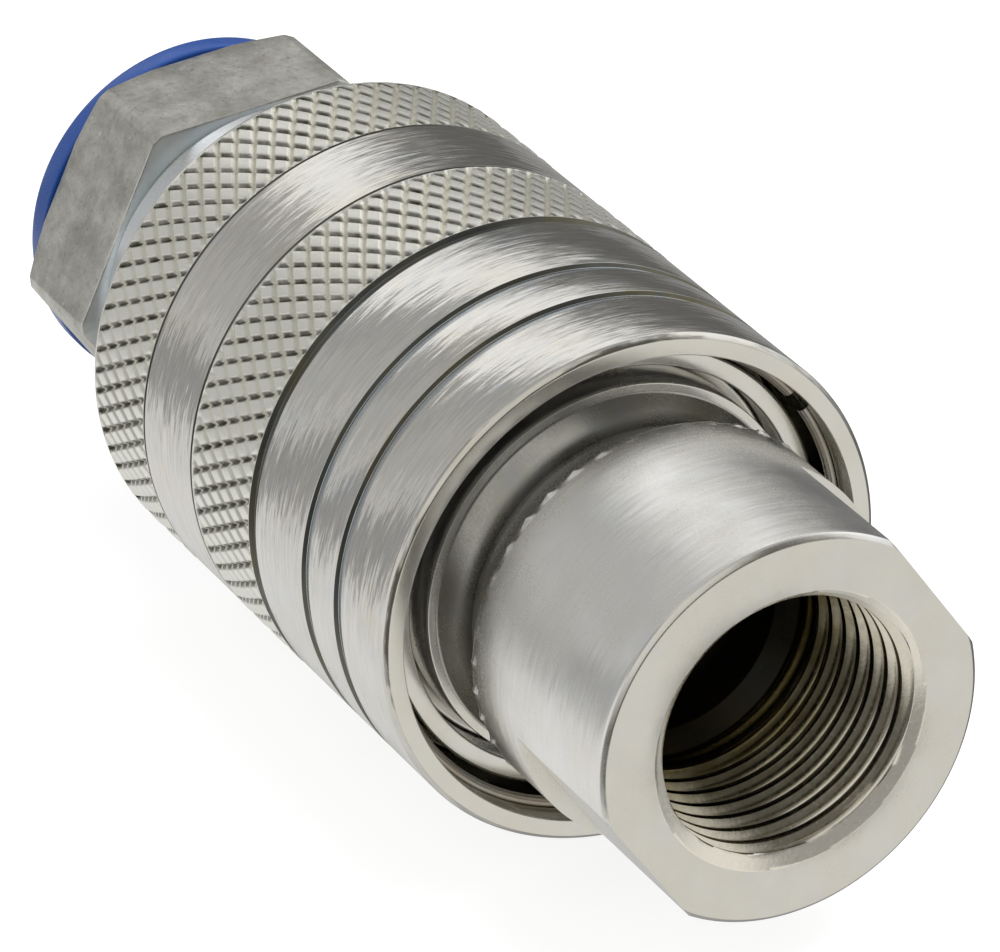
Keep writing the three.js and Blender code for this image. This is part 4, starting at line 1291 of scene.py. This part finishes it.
class World(NodeTree):
    """The studio's world, as backgrounds and mixes of them."""

    def background(self, color, strength=1.0):
        inputs = {"Color": color, "Strength": strength}
        return self.add("ShaderNodeBackground", inputs).outputs[0]

    def mix(self, factor, first, second):
        return self.add("ShaderNodeMixShader", {0: factor, 1: first, 2: second}).outputs[0]


def studio_bands(w, x, y, z):
    """The colour of the studio round the coupler's axis, from a ray's direction."""
    tilt = w.math("SUBTRACT", x, SIDEWAYS)
    small_tilt = w.math("MINIMUM", w.math("MAXIMUM", tilt, -0.2), 0.2)
    turn = w.math("DIVIDE", w.math("ARCTAN2", z, y), 2 * math.pi)
    twisted = w.math("ADD", turn, w.math("MULTIPLY", small_tilt, BAND_TWIST))
    ramp = w.add("ShaderNodeValToRGB", {0: w.math("FLOORED_MODULO", twisted, 1.0)})
    stops = ramp.color_ramp.elements
    for degrees, level in STUDIO_BANDS[1:-1]:
        stops.new(degrees / 360).color = (level, level * 0.995, level * 0.975, 1)
    for stop, (_, level) in ((stops[0], STUDIO_BANDS[0]), (stops[-1], STUDIO_BANDS[-1])):
        stop.color = (level, level * 0.99, level * 0.95, 1)
    return ramp.outputs[0]


def build_world():
    world = bpy.data.worlds.new("studio")
    bpy.context.scene.world = world
    world.use_nodes = True
    w = World(world.node_tree)
    direction = w.add("ShaderNodeTexCoord").outputs["Generated"]
    x, y, z = w.add("ShaderNodeSeparateXYZ", {0: direction}).outputs
    bands = w.background(studio_bands(w, x, y, z))
    across, up = w.math("MULTIPLY", y, CAMERA_SIDE[1]), w.math("MULTIPLY", z, CAMERA_SIDE[2])
    towards_camera = w.math("ADD", across, up)
    above, below = w.remap(towards_camera, -0.25, 0.0), w.remap(towards_camera, 0.65, 0.45)
    near_camera = w.math("MULTIPLY", above, below)
    lit = w.background((FRONT_LEVEL, FRONT_LEVEL * 0.972, FRONT_LEVEL * 0.89, 1))
    unlit = w.background((CAMERA_SIDE_LEVEL, CAMERA_SIDE_LEVEL * 0.95, CAMERA_SIDE_LEVEL * 0.8, 1))
    studio = w.mix(w.remap(x, 0.2, 0.45), bands, w.mix(near_camera, lit, unlit))
    path = w.add("ShaderNodeLightPath").outputs
    lighting = w.mix(path["Is Glossy Ray"], w.background((1, 1, 1, 1), 0.85), studio)
    seen = w.mix(path["Is Camera Ray"], lighting, w.background((1, 1, 1, 1)))
    w.add("ShaderNodeOutputWorld", {"Surface": seen})


def build_light():
    data = bpy.data.lights.new("softbox", "AREA")
    data.shape = "DISK"
    data.size = SOFTBOX_SIZE
    data.energy = SOFTBOX_POWER
    light = bpy.data.objects.new("softbox", data)
    light.location = SOFTBOX_PLACE
    light.rotation_mode = "QUATERNION"
    light.rotation_quaternion = (-SOFTBOX_PLACE).to_track_quat("-Z", "Y")
    light.visible_glossy = False
    bpy.context.scene.collection.objects.link(light)


def build_camera():
    azimuth = math.radians(CAMERA_AZIMUTH)
    elevation = math.radians(CAMERA_ELEVATION)
    roll = math.radians(CAMERA_ROLL)
    back = Vector((
        math.sin(azimuth) * math.cos(elevation),
        -math.cos(azimuth) * math.cos(elevation),
        math.sin(elevation),
    ))
    level_right = Vector((0, 0, 1)).cross(back).normalized()
    level_up = back.cross(level_right)
    right = level_right * math.cos(roll) + level_up * math.sin(roll)
    up = back.cross(right)
    data = bpy.data.cameras.new("camera")
    data.lens = CAMERA_LENS
    data.sensor_width = 36.0
    data.clip_start = 0.01
    camera = bpy.data.objects.new("camera", data)
    bpy.context.scene.collection.objects.link(camera)
    rotation = Matrix((right, up, back)).transposed().to_4x4()
    camera.matrix_world = Matrix.Translation(CAMERA_AIM + back * CAMERA_DISTANCE) @ rotation
    bpy.context.scene.camera = camera


build_floor()
build_world()
build_light()
build_camera()
bpy.context.scene.view_settings.view_transform = "Standard"
